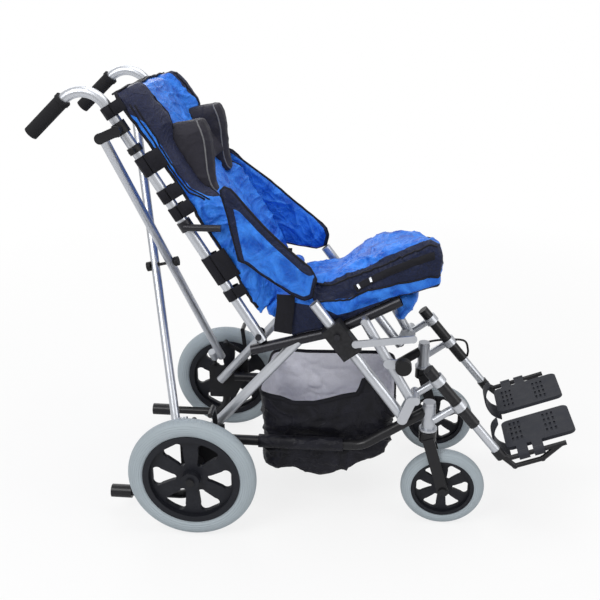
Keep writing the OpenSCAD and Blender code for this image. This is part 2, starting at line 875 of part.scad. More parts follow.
// Back
module back_tube(side) {
    color([0.78, 0.8, 0.83])
        placed(side)
            difference() {
                bent_tube([back_point(-back_tail), handle_corner,
                           grip_end - dir(grip_angle) * (grip_round + grip_wall + part_gap)],
                    handle_bend, rail_y, tube_d, tube_wall);
                cross_pin(back_foot, rail_y - tube_d, 2 * tube_d, back_pin_d + 2 * running_gap);
            }
}

module grip(side) {
    color([0.08, 0.08, 0.09])
        placed(side)
            difference() {
                union() {
                    rod_xz(grip_start, grip_end, rail_y, grip_d);
                    rod_xz(grip_start, grip_start + dir(grip_angle) * grip_rim * 2, rail_y,
                        grip_d + grip_rim);
                }
                rod_xz(grip_start - dir(grip_angle) * cut_over,
                    grip_end - dir(grip_angle) * (grip_round + grip_wall), rail_y,
                    tube_d + 2 * fit_gap);
            }
}

// Ring on the back tube with the arm that guides the brace's top, and the catch below it
module brace_clamp(side) {
    pad_y = brace_y + brace_cap_d / 2 + brace_room;
    top = brace_high - brace_normal * brace_offset * side;
    at = back_point(clamp_u);
    color([0.08, 0.08, 0.09])
        placed(side) {
            difference() {
                union() {
                    on_back()
                        translate([0, rail_y, clamp_u - clamp_h / 2])
                            cylinder(h = clamp_h, d = tube_d + 2 * clamp_wall);
                    cross_pin(at, rail_y, pad_y + clamp_pad_t - rail_y, clamp_post_d);
                    upright(pad_y, clamp_pad_t)
                        linear_extrude(height = clamp_pad_t) {
                            translate(top) circle(d = brace_cap_d);
                            translate(at) circle(d = brace_cap_d);
                            translate(at)
                                rotate([0, 0, angle_of(at, top)])
                                    translate([0, -brace_cap_d / 2 + part_gap])
                                        square([span(at, top), brace_cap_d - 2 * part_gap]);
                        }
                }
                rod_xz(back_point(0), back_point(back_len), rail_y, tube_d + 2 * fit_gap);
            }
            on_back()
                translate([0, rail_y, catch_u - catch_h / 2])
                    difference() {
                        union() {
                            cylinder(h = catch_h, d = tube_d + 2 * clamp_wall);
                            translate([0, 0, catch_h / 2])
                                rotate([-90, 0, 0])
                                    cylinder(h = tube_d / 2 + clamp_wall + catch_knob_t, d = catch_knob_d);
                        }
                        translate([0, 0, -cut_over])
                            cylinder(h = catch_h + 2 * cut_over, d = tube_d + 2 * fit_gap);
                    }
        }
}

// A crossed tube: low end on this side's ball, high end by the other side's clamp
function brace_a(side) = let (o = brace_low + brace_normal * brace_offset * side)
    [o[0], side * brace_y, o[1]];
function brace_b(side) = let (o = brace_high + brace_normal * brace_offset * side)
    [o[0], -side * brace_y, o[1]];

module between(p, q) {
    v = q - p;
    translate(p)
        rotate([0, acos(v[2] / norm(v)), atan2(v[1], v[0])])
            children();
}

module brace_tube(side) {
    foot = [brace_low[0], side * brace_y, brace_low[1]];
    p = brace_a(side);
    q = brace_b(side);
    len = norm(q - p);
    color([0.76, 0.78, 0.82])
        translate([frame_x, 0, 0])
            difference() {
                union() {
                    between(p, q)
                        cylinder(h = len, d = brace_d);
                    translate(foot - p)
                        between(p, q)
                            cylinder(h = brace_foot, d = brace_d);
                    translate(q)
                        sphere(d = brace_cap_d);
                }
                translate(foot)
                    sphere(d = ball_d + 2 * soft_gap);
                between(p, q)
                    translate([0, 0, brace_foot + brace_d])
                        cylinder(h = len - brace_foot - 2 * brace_d, d = brace_d - 2 * tube_wall);
                brace_bore(side == left ? brace_bolt_d : brace_hole_d);
            }
}

module brace_bore(d) {
    translate([brace_mid[0], 0, brace_mid[1]])
        rotate([0, 180 - brace_lean, 0])
            translate([0, 0, -2 * brace_offset])
                cylinder(h = 4 * brace_offset, d = d);
}

// Bolt and hand nuts where the two crossed tubes meet
module brace_bolt(side) {
    half = brace_offset + brace_d / 2 + 2 * soft_gap;
    color([0.2, 0.2, 0.22])
        translate([frame_x, 0, 0])
            translate([brace_mid[0], 0, brace_mid[1]])
                rotate([0, 180 - brace_lean, 0]) {
                    translate([0, 0, -half])
                        cylinder(h = 2 * half, d = brace_bolt_d - 2 * fit_gap);
                    translate([0, 0, half])
                        cylinder(h = brace_knob_t, d = brace_knob_d);
                    translate([0, 0, -half - brace_knob_t])
                        cylinder(h = brace_knob_t, d = brace_knob_d);
                }
}

module arm_bar(side) {
    at = back_point(bar_u);
    color([0.2, 0.2, 0.22])
        placed(side)
            difference() {
                union() {
                    on_back()
                        translate([0, rail_y, bar_u - bar_h / 2])
                            cylinder(h = bar_h, d = tube_d + 2 * clamp_wall);
                    rod_xz(at, at + [bar_len, 0], bar_y, bar_d);
                }
                rod_xz(back_point(0), back_point(back_len), rail_y, tube_d + 2 * fit_gap);
            }
}

// Webbing loops that tie the backrest to both back tubes
module back_straps(side) {
    color([0.05, 0.05, 0.06])
        for (s = [left, right], p = strap_places)
            placed(s)
                on_back()
                    translate([0, rail_y, p[0] - p[1] / 2])
                        difference() {
                            union() {
                                cylinder(h = p[1], d = tube_d + 2 * strap_t);
                                translate([0, -tube_d / 4, 0])
                                    cube([back_pad_rear - soft_gap, tube_d / 2, p[1]]);
                            }
                            translate([0, 0, -cut_over])
                                cylinder(h = p[1] + 2 * cut_over, d = tube_d + 2 * soft_gap);
                        }
}

// Backrest: padded middle, raised side rolls, an arched top with round corners
back_n = 24;
back_m = 22;
function back_half(t) = back_pad_w / 2 * (1 - back_corner_share * pow(max(0, (t - 0.86) / 0.14), 3)
    - 0.06 * pow(max(0, (0.2 - t) / 0.2), 2));
function back_u(t, v) = back_pad_low + back_pad_h * t - back_pad_h * 0.035 * t * v * v;
function back_front(t, v) = back_pad_rear + back_pad_t * 0.35
    + back_pad_t * 0.65 * pow(1 - pow(abs(v), 8), 0.5) * pow(1 - pow(abs(2 * t - 1), 14), 0.5)
    + back_roll * smooth((abs(v) - 0.55) / 0.25) * pow(1 - pow(abs(v), 8), 0.5)
        * pow(1 - pow(abs(2 * t - 1), 14), 0.5)
    - back_pad_t * 0.10 * exp(-pow((abs(v) - 0.56) / 0.06, 2));
function back_grid(rear) = [for (i = [0:back_n], j = [0:back_m])
    let (t = i / back_n, v = 2 * j / back_m - 1)
    [rear ? back_pad_rear : back_front(t, v), v * back_half(t), back_u(t, v)]];

module backrest(side) {
    color([0.1, 0.35, 0.85])
        translate([frame_x, 0, 0])
            on_back()
                pad_form(back_grid(false), back_grid(true), back_n, back_m);
}

// Side wing: a padded leaf beside the seat, its outline given from its own size
wing_rear_low = [150, 572];
wing_rear_high = [52, 850];
wing_low_front = [282, 610];
wing_sag = 9;
wing_tip_high = [286, 668];
wing_tip_low = [296, 632];
wing_n = 12;
wing_m = 16;
function wing_rim(t) = [at_share(wing_rear_low, wing_rear_high, t),
    t < 0.5 ? at_share(wing_low_front, wing_tip_low, t * 2)
        : at_share(wing_tip_low, wing_tip_high, t * 2 - 1)];
function wing_point(t, v) = let (r = wing_rim(t)) at_share(r[0], r[1], v)
    + [0, -wing_sag * sin(180 * v) * t];
function wing_fill(t, v) = pow(max(0, 1 - pow(abs(2 * t - 1), 6)), 0.5)
    * pow(max(0, 1 - pow(abs(2 * v - 1), 8)), 0.5) * (0.82 + 0.18 * cos(360 * (2.5 * v + t)));
function wing_y(t, v, outer) = let (y = back_pad_w / 2 + wing_gap + wing_t / 2)
    y + (outer ? 1 : -1) * wing_t / 2 * (0.25 + 0.75 * wing_fill(t, v));
function wing_grid(outer) = [for (i = [0:wing_n], j = [0:wing_m])
    let (t = i / wing_n, v = j / wing_m, p = wing_point(t, v)) [p[0], wing_y(t, v, outer), p[1]]];

module wing(side) {
    color([0.15, 0.42, 0.9])
        placed(side)
            pad_form(wing_grid(false), wing_grid(true), wing_n, wing_m);
}

// Head support: two wedge pads on a band across the backrest
head_n = 10;
head_m = 8;
function head_grid(outer) = [for (i = [0:head_n], j = [0:head_m])
    let (t = i / head_n, v = j / head_m,
         depth = head_depth_low + (head_depth_high - head_depth_low) * t,
         puff = pow(1 - pow(abs(2 * t - 1), 6), 0.5) * pow(1 - pow(abs(2 * v - 1), 6), 0.5))
    [head_low_w + depth * v, head_inner + head_pad_t / 2
        + (outer ? 1 : -1) * head_pad_t / 2 * (0.45 + 0.55 * puff), head_u + head_pad_h * t]];

module head_support(side) {
    color([0.17, 0.17, 0.2])
        for (s = [left, right])
            placed(s)
                on_back() {
                    pad_form(head_grid(false), head_grid(true), head_n, head_m);
                    translate([back_pad_rear + back_pad_t + soft_gap, 0, head_u + head_pad_h * 0.3])
                        cube([head_low_w - back_pad_rear - back_pad_t - soft_gap + part_gap,
                              head_band_half, head_pad_h * 0.4]);
                }
}

// Seat: a deep sling cushion between the rails, raised along both sides and in front
seat_n = 20;
seat_m = 20;
seat_half = back_pad_w / 2;
seat_over_rail = tube_d * 0.6 + 2 * soft_gap;
function seat_x(t) = seat_rear_x + (seat_front_x - seat_rear_x) * t;
function seat_base(t) = rail_z(min(seat_x(t), rail_front[0])) + seat_over_rail
    + seat_front_drop * smooth((seat_x(t) - rail_front[0]) / (seat_front_x - rail_front[0]));
function seat_low(t, v) = seat_base(t) - seat_sink * smooth((0.9 - abs(v)) / 0.08);
function seat_mid(t) = seat_top_rear + (seat_top_step - seat_top_rear) * smooth(t / 0.45)
    + (seat_top_front - seat_top_step) * smooth((t - 0.35) / 0.35);
function seat_top(t, v) = seat_mid(t) + seat_edge_rise * smooth((abs(v) - 0.5) / 0.3)
    - (seat_mid(t) - seat_base(t)) * 0.5 * (1 - pow(1 - pow(abs(v), 10), 0.5) * pow(1 - pow(abs(2 * t - 1), 12), 0.5));
function seat_grid(under) = [for (i = [0:seat_n], j = [0:seat_m])
    let (t = i / seat_n, v = 2 * j / seat_m - 1)
    [seat_x(t), v * seat_half, under ? seat_low(t, v) : seat_top(t, v)]];

module seat_cushion(side) {
    color([0.12, 0.38, 0.86])
        translate([frame_x, 0, 0])
            pad_form(seat_grid(true), seat_grid(false), seat_n, seat_m);
}

// Basket: an open bag between the lower rails, its sides drawn into hanging folds
basket_n = 40;
basket_rows = 7;
basket_stem_gap = 419;
basket_fold = 5;
basket_foot_in = 14;
basket_taper = 20;
basket_rear_x = stem_x - basket_stem_gap;
basket_half = front_y - tube_d / 2 - soft_gap;
function basket_row_z(k, x) = let (s = k / basket_rows,
    dip = 1 - pow(abs((x - basket_rear_x - basket_len * 0.4) / (basket_len * 0.6)), 2))
    basket_rim_z + (lower_rail_z - (lower_rail_z - basket_low_z) * max(0, dip) * smooth(s) - basket_rim_z) * s;
function basket_ring(k, shrink) = [for (i = [0:basket_n - 1])
    let (s = k / basket_rows,
         a = 360 * i / basket_n,
         q = pow(pow(abs(cos(a)), 8) + pow(abs(sin(a)), 8), -1 / 8),
         fold = shrink + basket_fold * s * (1 - s) * 4 * (0.5 + 0.5 * sin(a * 9)) + basket_foot_in * pow(s, 8),
         x = basket_rear_x + basket_len / 2 + (basket_len / 2 - fold - basket_taper * s) * q * cos(a),
         y = (basket_half - fold) * q * sin(a))
    [x, y, basket_row_z(k, x) + (shrink > 0 && k == basket_rows ? basket_t : 0)]];
function basket_centre(z) = [basket_rear_x + basket_len * 0.45, 0, z];

module basket(side) {
    outer = [for (k = [0:basket_rows]) each basket_ring(k, 0)];
    inner = [for (k = [0:basket_rows]) each basket_ring(k, basket_t)];
    c = len(outer);
    b = basket_rows * basket_n;
    points = concat(outer, inner, [basket_centre(basket_low_z), basket_centre(basket_low_z + basket_t)]);
    faces = concat(
        [for (k = [0:basket_rows - 1], i = [0:basket_n - 1]) let (j = (i + 1) % basket_n) each [
            [k * basket_n + i, k * basket_n + j, (k + 1) * basket_n + j],
            [k * basket_n + i, (k + 1) * basket_n + j, (k + 1) * basket_n + i],
            [c + k * basket_n + i, c + (k + 1) * basket_n + j, c + k * basket_n + j],
            [c + k * basket_n + i, c + (k + 1) * basket_n + i, c + (k + 1) * basket_n + j]]],
        [for (i = [0:basket_n - 1]) let (j = (i + 1) % basket_n) each [
            [i, c + i, c + j],
            [i, c + j, j],
            [b + i, b + j, 2 * c],
            [c + b + j, c + b + i, 2 * c + 1]]]
    );
    color([0.06, 0.06, 0.08]) {
        translate([frame_x, 0, 0])
            polyhedron(points = points, faces = faces, convexity = 6);
        for (s = [left, right])
            placed(s)
                tube_xz([basket_rear_x + basket_t, lower_rail_z],
                    [lower_rail_kink_x - lower_rail_bend / 2, lower_rail_z], front_y,
                    tube_d + 2 * soft_gap + 2 * basket_t, basket_t);
    }
}

rear_tyre(left);  // rear_tyre_left
rear_tyre(right);  // rear_tyre_right
rear_rim(left);  // rear_rim_left
rear_rim(right);  // rear_rim_right
front_tyre(left);  // front_tyre_left
front_tyre(right);  // front_tyre_right
front_rim(left);  // front_rim_left
front_rim(right);  // front_rim_right
caster_fork(left);  // caster_fork_left
caster_fork(right);  // caster_fork_right
caster_housing(left);  // caster_housing_left
caster_housing(right);  // caster_housing_right
front_leg(left);  // front_leg_left
front_leg(right);  // front_leg_right
front_strut(left);  // front_strut_left
front_strut(right);  // front_strut_right
leg_clamp(left);  // leg_clamp_left
leg_clamp(right);  // leg_clamp_right
frame_knob(left);  // frame_knob_left
frame_knob(right);  // frame_knob_right
rear_leg(left);  // rear_leg_left
rear_leg(right);  // rear_leg_right
seat_rail(left);  // seat_rail_left
seat_rail(right);  // seat_rail_right
lower_rail(left);  // lower_rail_left
lower_rail(right);  // lower_rail_right
axle_bracket(left);  // axle_bracket_left
axle_bracket(right);  // axle_bracket_right
brake_lever(left);  // brake_lever_left
brake_lever(right);  // brake_lever_right
anti_tip(left);  // anti_tip_left
anti_tip(right);  // anti_tip_right
hanger_sleeve(left);  // hanger_sleeve_left
hanger_sleeve(right);  // hanger_sleeve_right
foot_tube(left);  // foot_tube_left
foot_tube(right);  // foot_tube_right
plate_support(left);  // plate_support_left
plate_support(right);  // plate_support_right
footplate(left);  // footplate_left
footplate(right);  // footplate_right
back_tube(left);  // back_tube_left
back_tube(right);  // back_tube_right
grip(left);  // grip_left
grip(right);  // grip_right
brace_clamp(left);  // brace_clamp_left
brace_clamp(right);  // brace_clamp_right
brace_tube(left);  // brace_tube_left
brace_tube(right);  // brace_tube_right
brace_bolt();
arm_bar(left);  // arm_bar_left
arm_bar(right);  // arm_bar_right
back_straps();
backrest();
wing(left);  // wing_left
wing(right);  // wing_right
head_support();
seat_cushion();
basket();
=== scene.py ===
"""The stroller's looks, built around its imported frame: metal, rubber and plastic finishes,
and every sewn part as its own piece. Millimetres are measured from under the rear axle."""

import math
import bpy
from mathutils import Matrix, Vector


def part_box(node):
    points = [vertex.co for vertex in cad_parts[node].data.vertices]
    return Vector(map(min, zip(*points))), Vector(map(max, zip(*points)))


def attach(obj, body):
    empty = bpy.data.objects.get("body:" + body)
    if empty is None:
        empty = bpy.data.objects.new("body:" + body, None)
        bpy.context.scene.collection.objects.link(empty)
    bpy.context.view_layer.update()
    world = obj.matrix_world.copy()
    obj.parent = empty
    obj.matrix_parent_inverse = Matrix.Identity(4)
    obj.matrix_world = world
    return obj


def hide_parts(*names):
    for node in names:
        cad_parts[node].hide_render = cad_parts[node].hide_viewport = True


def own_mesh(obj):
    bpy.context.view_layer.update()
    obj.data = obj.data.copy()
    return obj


bl_info = {
    "name": "Special Needs Stroller",
    "version": (1, 0, 0),
    "blender": (4, 5, 0),
    "location": "3D View > Sidebar > Stroller",
    "description": "Finishes and soft goods for a folding special needs stroller",
    "category": "Object",
}

import bmesh
import bpy
from bpy.props import FloatProperty, FloatVectorProperty, IntProperty, PointerProperty
from mathutils import Matrix, Vector, noise
from mathutils.bvhtree import BVHTree

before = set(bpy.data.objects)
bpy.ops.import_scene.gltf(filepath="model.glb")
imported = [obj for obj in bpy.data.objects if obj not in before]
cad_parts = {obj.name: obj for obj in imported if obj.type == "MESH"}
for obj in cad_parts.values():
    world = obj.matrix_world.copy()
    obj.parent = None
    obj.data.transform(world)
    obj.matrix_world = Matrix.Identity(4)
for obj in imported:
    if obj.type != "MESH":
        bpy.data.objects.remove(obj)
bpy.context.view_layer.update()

MM = 0.001
ROUND = 2 * math.pi
SIDES = {"left": 1, "right": -1}
FRAME_X = (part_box("rear_rim_left")[0].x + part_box("rear_rim_left")[1].x) / 2
BACK_FOOT = (157, 498)
BACK_TILT = math.radians(31.6)
BACK_N = (math.cos(BACK_TILT), math.sin(BACK_TILT))
TUBE_Y = 178


# Places


def at(x, y, z):
    """A place in millimetres from under the rear axle, as the scene's metres."""
    return Vector((FRAME_X + x * MM, y * MM, z * MM))


def from_scene(co):
    """The inverse of at: (x, y, z) in millimetres."""
    return (co.x - FRAME_X) / MM, co.y / MM, co.z / MM


def on_back(n, y, u):
    """A place by its distance in front of the back tubes, across, and up them."""
    return at(
        BACK_FOOT[0] + n * BACK_N[0] - u * BACK_N[1],
        y,
        BACK_FOOT[1] + n * BACK_N[1] + u * BACK_N[0],
    )


def from_back(co):
    """The inverse of on_back: (n, y, u) in millimetres."""
    x, y, z = from_scene(co)
    x, z = x - BACK_FOOT[0], z - BACK_FOOT[1]
    return x * BACK_N[0] + z * BACK_N[1], y, -x * BACK_N[1] + z * BACK_N[0]


def back_way(n, y, u=0):
    """The direction of a step in front of the back tubes, across, and up them."""
    return (on_back(n, y, u) - on_back(0, 0, 0)).normalized()


def smooth(t):
    """From 0 to 1 with soft ends."""
    t = min(1.0, max(0.0, t))
    return t * t * (3 - 2 * t)


def rise(x, start, end):
    """0 at start and before, 1 at end and past it. The end may be the lower one."""
    return smooth((x - start) / (end - start))


def rounded(s, power):
    """How full a pad is at s, from -1 at one edge to 1 at the other."""
    return max(0.0, 1 - abs(s) ** power) ** 0.5


def along(table, x):
    """A value read from a table of (x, value) pairs, straight between them."""
    if x <= table[0][0]:
        return table[0][1]
    for (x0, v0), (x1, v1) in zip(table, table[1:]):
        if x <= x1:
            return v0 + (v1 - v0) * (x - x0) / (x1 - x0)
    return table[-1][1]


def run_along(table, share):
    """A place at a share of the way along a line of (x, z) places."""
    steps = [math.dist(p, q) for p, q in zip(table, table[1:])]
    left = share * sum(steps)
    for (x0, z0), (x1, z1), step in zip(table, table[1:], steps):
        if left <= step or (x1, z1) == table[-1]:
            part = min(1.0, left / step)
            return x0 + (x1 - x0) * part, z0 + (z1 - z0) * part
        left -= step
    return table[-1]


def off_line(table, x, z):
    """Shortest way from a place to a line of (x, z) places."""
    ways = []
    for (x0, z0), (x1, z1) in zip(table, table[1:]):
        dx, dz = x1 - x0, z1 - z0
        part = min(1.0, max(0.0, ((x - x0) * dx + (z - z0) * dz) / (dx * dx + dz * dz)))
        ways.append(math.hypot(x - x0 - part * dx, z - z0 - part * dz))
    return min(ways)


def path_through(points, steps):
    """A smooth line through points, as Catmull-Rom pieces."""
    out = []
    last = len(points) - 1
    for i in range(last):
        p0, p1 = points[max(i - 1, 0)], points[i]
        p2, p3 = points[i + 1], points[min(i + 2, last)]
        for k in range(steps):
            t = k / steps
            line = 2 * p1 + (p2 - p0) * t
            curve = (2 * p0 - 5 * p1 + 4 * p2 - p3) * t * t
            out.append((line + curve + (3 * p1 - p0 - 3 * p2 + p3) * t * t * t) * 0.5)
    out.append(points[-1].copy())
    return out


def grid(rows, cols, place):
    """Rows of places, each made from its two shares of the way, from 0 to 1."""
    return [[place(i / rows, j / cols) for j in range(cols + 1)] for i in range(rows + 1)]


# Settings


class StrollerCloth(bpy.types.PropertyGroup):
    """Colours and sewing of the soft goods"""

    # blue is the nylon's colour in the painted shade of its creases, and blue_lit its painted
    # highlight where they catch the light
    blue: FloatVectorProperty(
        name="Blue nylon",
        description="Colour of the blue nylon",
        subtype="COLOR", min=0, max=1, default=(0.003, 0.075, 0.46),
    )
    blue_lit: FloatVectorProperty(
        name="Blue nylon, raised",
        description="Colour of the blue nylon where creases catch the light",
        subtype="COLOR", min=0, max=1, default=(0.045, 0.26, 0.90),
    )
    black: FloatVectorProperty(
        name="Black nylon",
        description="Colour of the black nylon, the binding and the webbing",
        subtype="COLOR", min=0, max=1, default=(0.006, 0.006, 0.009),
    )
    charcoal: FloatVectorProperty(
        name="Charcoal cloth",
        description="Colour of the head pads and the backrest's side panels",
        subtype="COLOR", min=0, max=1, default=(0.020, 0.019, 0.026),
    )
    lining: FloatVectorProperty(
        name="Basket lining",
        description="Colour of the basket's pale lining",
        subtype="COLOR", min=0, max=1, default=(0.78, 0.78, 0.84),
    )
    crease: FloatProperty(
        name="Crease depth",
        description="Depth of the creases in the nylon",
        unit="LENGTH", min=0, max=0.01, default=0.0042,
    )
    piping: FloatProperty(
        name="Piping",
        description="Diameter of the black piping along the seams",
        unit="LENGTH", min=0.003, max=0.012, default=0.0075,
    )


class StrollerFrame(bpy.types.PropertyGroup):
    """Colours of the frame and the tyres, and the rounding of the edges"""

    silver: FloatVectorProperty(
        name="Silver tubes",
        description="Colour of the bright tubes",
        subtype="COLOR", min=0, max=1, default=(0.56, 0.58, 0.62),
    )
    black: FloatVectorProperty(
        name="Black parts",
        description="Colour of the black tubes and brackets",
        subtype="COLOR", min=0, max=1, default=(0.012, 0.012, 0.014),
    )
    tyre: FloatVectorProperty(
        name="Tyres",
        description="Colour of the grey tyres",
        subtype="COLOR", min=0, max=1, default=(0.40, 0.46, 0.50),
    )
    edge: FloatProperty(
        name="Edge radius",
        description="Rounding shown on the edges of metal and plastic parts",
        unit="LENGTH", min=0.0002, max=0.002, default=0.0006,
    )


class StrollerStage(bpy.types.PropertyGroup):
    """Camera, lamps, and the steps of the cloth's swelling"""

    lens: FloatProperty(
        name="Lens",
        description="Focal length of the camera in millimetres",
        min=20, max=200, default=53.05,
    )
    lamp: FloatProperty(
        name="Lamp power",
        description="Power of the main lamp",
        unit="POWER", min=1, max=500, default=52,
    )
    fill_frames: IntProperty(
        name="Cloth steps",
        description="Steps for which a padded part swells",
        min=5, max=40, default=20,
    )


# Shader groups


def add(tree, kind, inputs=None, **settings):
    """A shader node with its settings; an input is a socket to link or a value."""
    node = tree.nodes.new("ShaderNode" + kind)
    for key, value in settings.items():
        setattr(node, key, value)
    for key, value in (inputs or {}).items():
        if isinstance(value, bpy.types.NodeSocket):
            tree.links.new(value, node.inputs[key])
        else:
            node.inputs[key].default_value = value
    return node


def calc(tree, operation, a, b=0.0, clamp=False):
    node = add(tree, "Math", {0: a, 1: b}, operation=operation, use_clamp=clamp)
    return node.outputs[0]


def times(tree, a, b, clamp=False):
    return calc(tree, "MULTIPLY", a, b, clamp)


def plus(tree, a, b, clamp=False):
    return calc(tree, "ADD", a, b, clamp)


def spread(tree, value, low, high, to_low=0.0, to_high=1.0):
    """A value stretched from one range onto another."""
    ends = {"From Min": low, "From Max": high, "To Min": to_low, "To Max": to_high}
    return add(tree, "MapRange", {"Value": value, **ends}).outputs["Result"]


def cloud(tree, scale, detail, distortion=0.0):
    """Soft noise fixed to the piece."""
    inputs = {"Scale": scale, "Detail": detail, "Distortion": distortion}
    inputs["Vector"] = add(tree, "TexCoord").outputs["Object"]
    return add(tree, "TexNoise", inputs).outputs[0]


def blend_colour(tree, factor, a, b):
    """From colour a to colour b; each is a socket or three values."""
    ends = [c if isinstance(c, bpy.types.NodeSocket) else (*c, 1.0) for c in (a, b)]
    node = add(tree, "Mix", {0: factor}, data_type="RGBA")
    for socket, value in zip((node.inputs[6], node.inputs[7]), ends):
        if isinstance(value, bpy.types.NodeSocket):
            tree.links.new(value, socket)
        else:
            socket.default_value = value
    return node.outputs[2]


def shade(colour, factor):
    return tuple(min(1.0, c * factor) for c in colour)


# Noise scales are in features to a metre
SLUB_SCALE = 260.0
BLOTCH_SCALE = 26.0
RUB_SCALE = 130.0
DUST_SCALE = 34.0
# Pace, wander and share of the broad and the fine creases
CREASE_LAYERS = ((1.0, 1.6, 0.65), (2.7, 0.9, 0.35))
# Where a tyre's tread starts, as shares of the wheel's width
TREAD_EDGE = (0.478, 0.488)


def weave(tree, threads):
    """Threads crossing at right angles. Tone is the cloth's colour change."""
    axes = add(tree, "SeparateXYZ", {0: add(tree, "TexCoord").outputs["Object"]}).outputs
    turn = times(tree, threads, ROUND)
    warp = calc(tree, "SINE", times(tree, axes[2], turn))
    weft = calc(tree, "SINE", times(tree, plus(tree, axes[0], axes[1]), turn))
    height = times(tree, warp, weft)
    dim = spread(tree, height, -1.0, 1.0, 0.7, 1.0)
    slub = cloud(tree, SLUB_SCALE, 2.0)
    return {"Height": spread(tree, height, -1.0, 1.0), "Tone": times(tree, dim, slub)}


def creases(tree, scale, sharpness):
    """Sharp little folds that wander over thin nylon. Tone is where they catch the light."""
    parts = []
    for pace, warp, share in CREASE_LAYERS:
        field = cloud(tree, times(tree, scale, pace), 2.0, warp)
        off = calc(tree, "ABSOLUTE", calc(tree, "SUBTRACT", field, 0.5))
        crest = calc(tree, "SUBTRACT", 1.0, times(tree, off, 4.0), clamp=True)
        parts.append(times(tree, calc(tree, "POWER", crest, sharpness), share))
    broad = cloud(tree, scale, 4.0, 2.2)
    return {"Height": plus(tree, *parts), "Tone": spread(tree, broad, 0.36, 0.66)}


def grain(tree, scale):
    """Fine irregular grain of paint or moulded plastic."""
    broad = cloud(tree, BLOTCH_SCALE, 3.0)
    return {"Height": cloud(tree, scale, 3.0), "Tone": spread(tree, broad, 0.3, 0.7)}


def edge_wear(tree, amount):
    """Mask of edges rubbed by hands and baggage."""
    edge = spread(tree, add(tree, "NewGeometry").outputs["Pointiness"], 0.60, 0.74)
    broken = spread(tree, cloud(tree, RUB_SCALE, 4.0), 0.42, 0.62)
    return {"Mask": times(tree, times(tree, edge, broken), amount, clamp=True)}


def dust(tree, amount):
    """Mask of pale dust on faces that look up."""
    up = add(tree, "SeparateXYZ", {0: add(tree, "NewGeometry").outputs["Normal"]}).outputs[2]
    patch = spread(tree, cloud(tree, DUST_SCALE, 5.0), 0.4, 0.75)
    mask = times(tree, spread(tree, up, 0.1, 1.0), patch)
    return {"Mask": times(tree, mask, amount, clamp=True)}


def tyre_rings(tree, rings, ribs):
    """Rings and tread of a tyre, from the wheel's own round outline."""
    flat = add(tree, "SeparateXYZ", {0: add(tree, "TexCoord").outputs["Generated"]}).outputs
    x, z = (calc(tree, "SUBTRACT", flat[i], 0.5) for i in (0, 2))
    radius = calc(tree, "SQRT", plus(tree, times(tree, x, x), times(tree, z, z)))
    turn = calc(tree, "ARCTAN2", z, x)
    ring = calc(tree, "SINE", times(tree, radius, times(tree, rings, ROUND)))
    rib = calc(tree, "SINE", times(tree, turn, ribs))
    tread = spread(tree, radius, *TREAD_EDGE)
    side = times(tree, spread(tree, ring, 0.86, 0.99), calc(tree, "SUBTRACT", 1.0, tread))
    height = plus(tree, side, times(tree, tread, spread(tree, rib, -0.2, 0.4)))
    return {"Height": height, "Tone": spread(tree, radius, 0.38, 0.5)}


GROUPS = {
    "Weave": (weave, ["Threads"]),
    "Creases": (creases, ["Scale", "Sharpness"]),
    "Grain": (grain, ["Scale"]),
    "Edge wear": (edge_wear, ["Amount"]),
    "Dust": (dust, ["Amount"]),
    "Tyre rings": (tyre_rings, ["Rings", "Ribs"]),
}


def shader_group(name):
    """The shader group of that name, built at its first use."""
    if name not in bpy.data.node_groups:
        build, labels = GROUPS[name]
        tree = bpy.data.node_groups.new(name, "ShaderNodeTree")
        kind = "NodeSocketFloat"
        for label in labels:
            tree.interface.new_socket(name=label, in_out="INPUT", socket_type=kind)
        inside = tree.nodes.new("NodeGroupInput").outputs
        results = build(tree, *[inside[label] for label in labels])
        for label in results:
            tree.interface.new_socket(name=label, in_out="OUTPUT", socket_type=kind)
        end = tree.nodes.new("NodeGroupOutput")
        for label, value in results.items():
            tree.links.new(value, end.inputs[label])
    return bpy.data.node_groups[name]


def use(tree, name, *values):
    """Places a shader group in a material, with its own values; returns its outputs."""
    node = tree.nodes.new("ShaderNodeGroup")
    node.node_tree = shader_group(name)
    for label, value in zip(GROUPS[name][1], values):
        node.inputs[label].default_value = value
    return node.outputs


# Materials


MATERIALS = {}
METAL = {
    "pores": 1400.0,
    "depth": 0.00004,
    "dim": 0.93,
    "haze": 0.06,
    "wear": 0.30,
    "dust": 0.025,
    "dusty": (0.42, 0.41, 0.40),
    "specular": 0.3,
}
PLASTIC = {
    "pores": 900.0,
    "depth": 0.00008,
    "dim": 0.8,
    "haze": 0.15,
    "wear": 0.25,
    "dust": 0.03,
    "dusty": (0.30, 0.29, 0.28),
    "specular": 0.25,
}
FOAM = PLASTIC | {"pores": 520.0, "depth": 0.0004}
RIBBED = PLASTIC | {"pores": 700.0, "depth": 0.00018}
TYRE_DUST = (0.52, 0.50, 0.47)
CLOTH_DUST = (0.32, 0.32, 0.33)
THREAD_DEPTH = 0.00010
THREAD_DIM = 0.25
# Share of the painted highlight on the crease crests
CREST_LIGHT = 0.35
PANEL_ROUGHER = 0.12
# Width over which a panel's colour takes over, in millimetres
PANEL_FADE = 0.4
# Roughness, threads to a metre, depth of the creases in metres, creases to a metre
WEAVES = {
    "Blue nylon": (0.30, 900.0, 0.0020, 13.0),
    "Blue nylon and black": (0.30, 900.0, 0.0020, 13.0),
    "Charcoal cloth": (0.52, 700.0, 0.0004, 9.0),
    "Black nylon": (0.28, 900.0, 0.0022, 11.0),
    "Piping": (0.5, 500.0, 0.0001, 40.0),
    "Grey piping": (0.5, 500.0, 0.0001, 40.0),
    "Webbing": (0.62, 420.0, 0.0001, 60.0),
    "Basket lining": (0.5, 600.0, 0.0010, 12.0),
}


def new_material(name):
    """An empty material; returns its tree and its Principled shader."""
    material = bpy.data.materials.new(name)
    material.use_nodes = True
    MATERIALS[name] = material
    return material.node_tree, material.node_tree.nodes["Principled BSDF"]


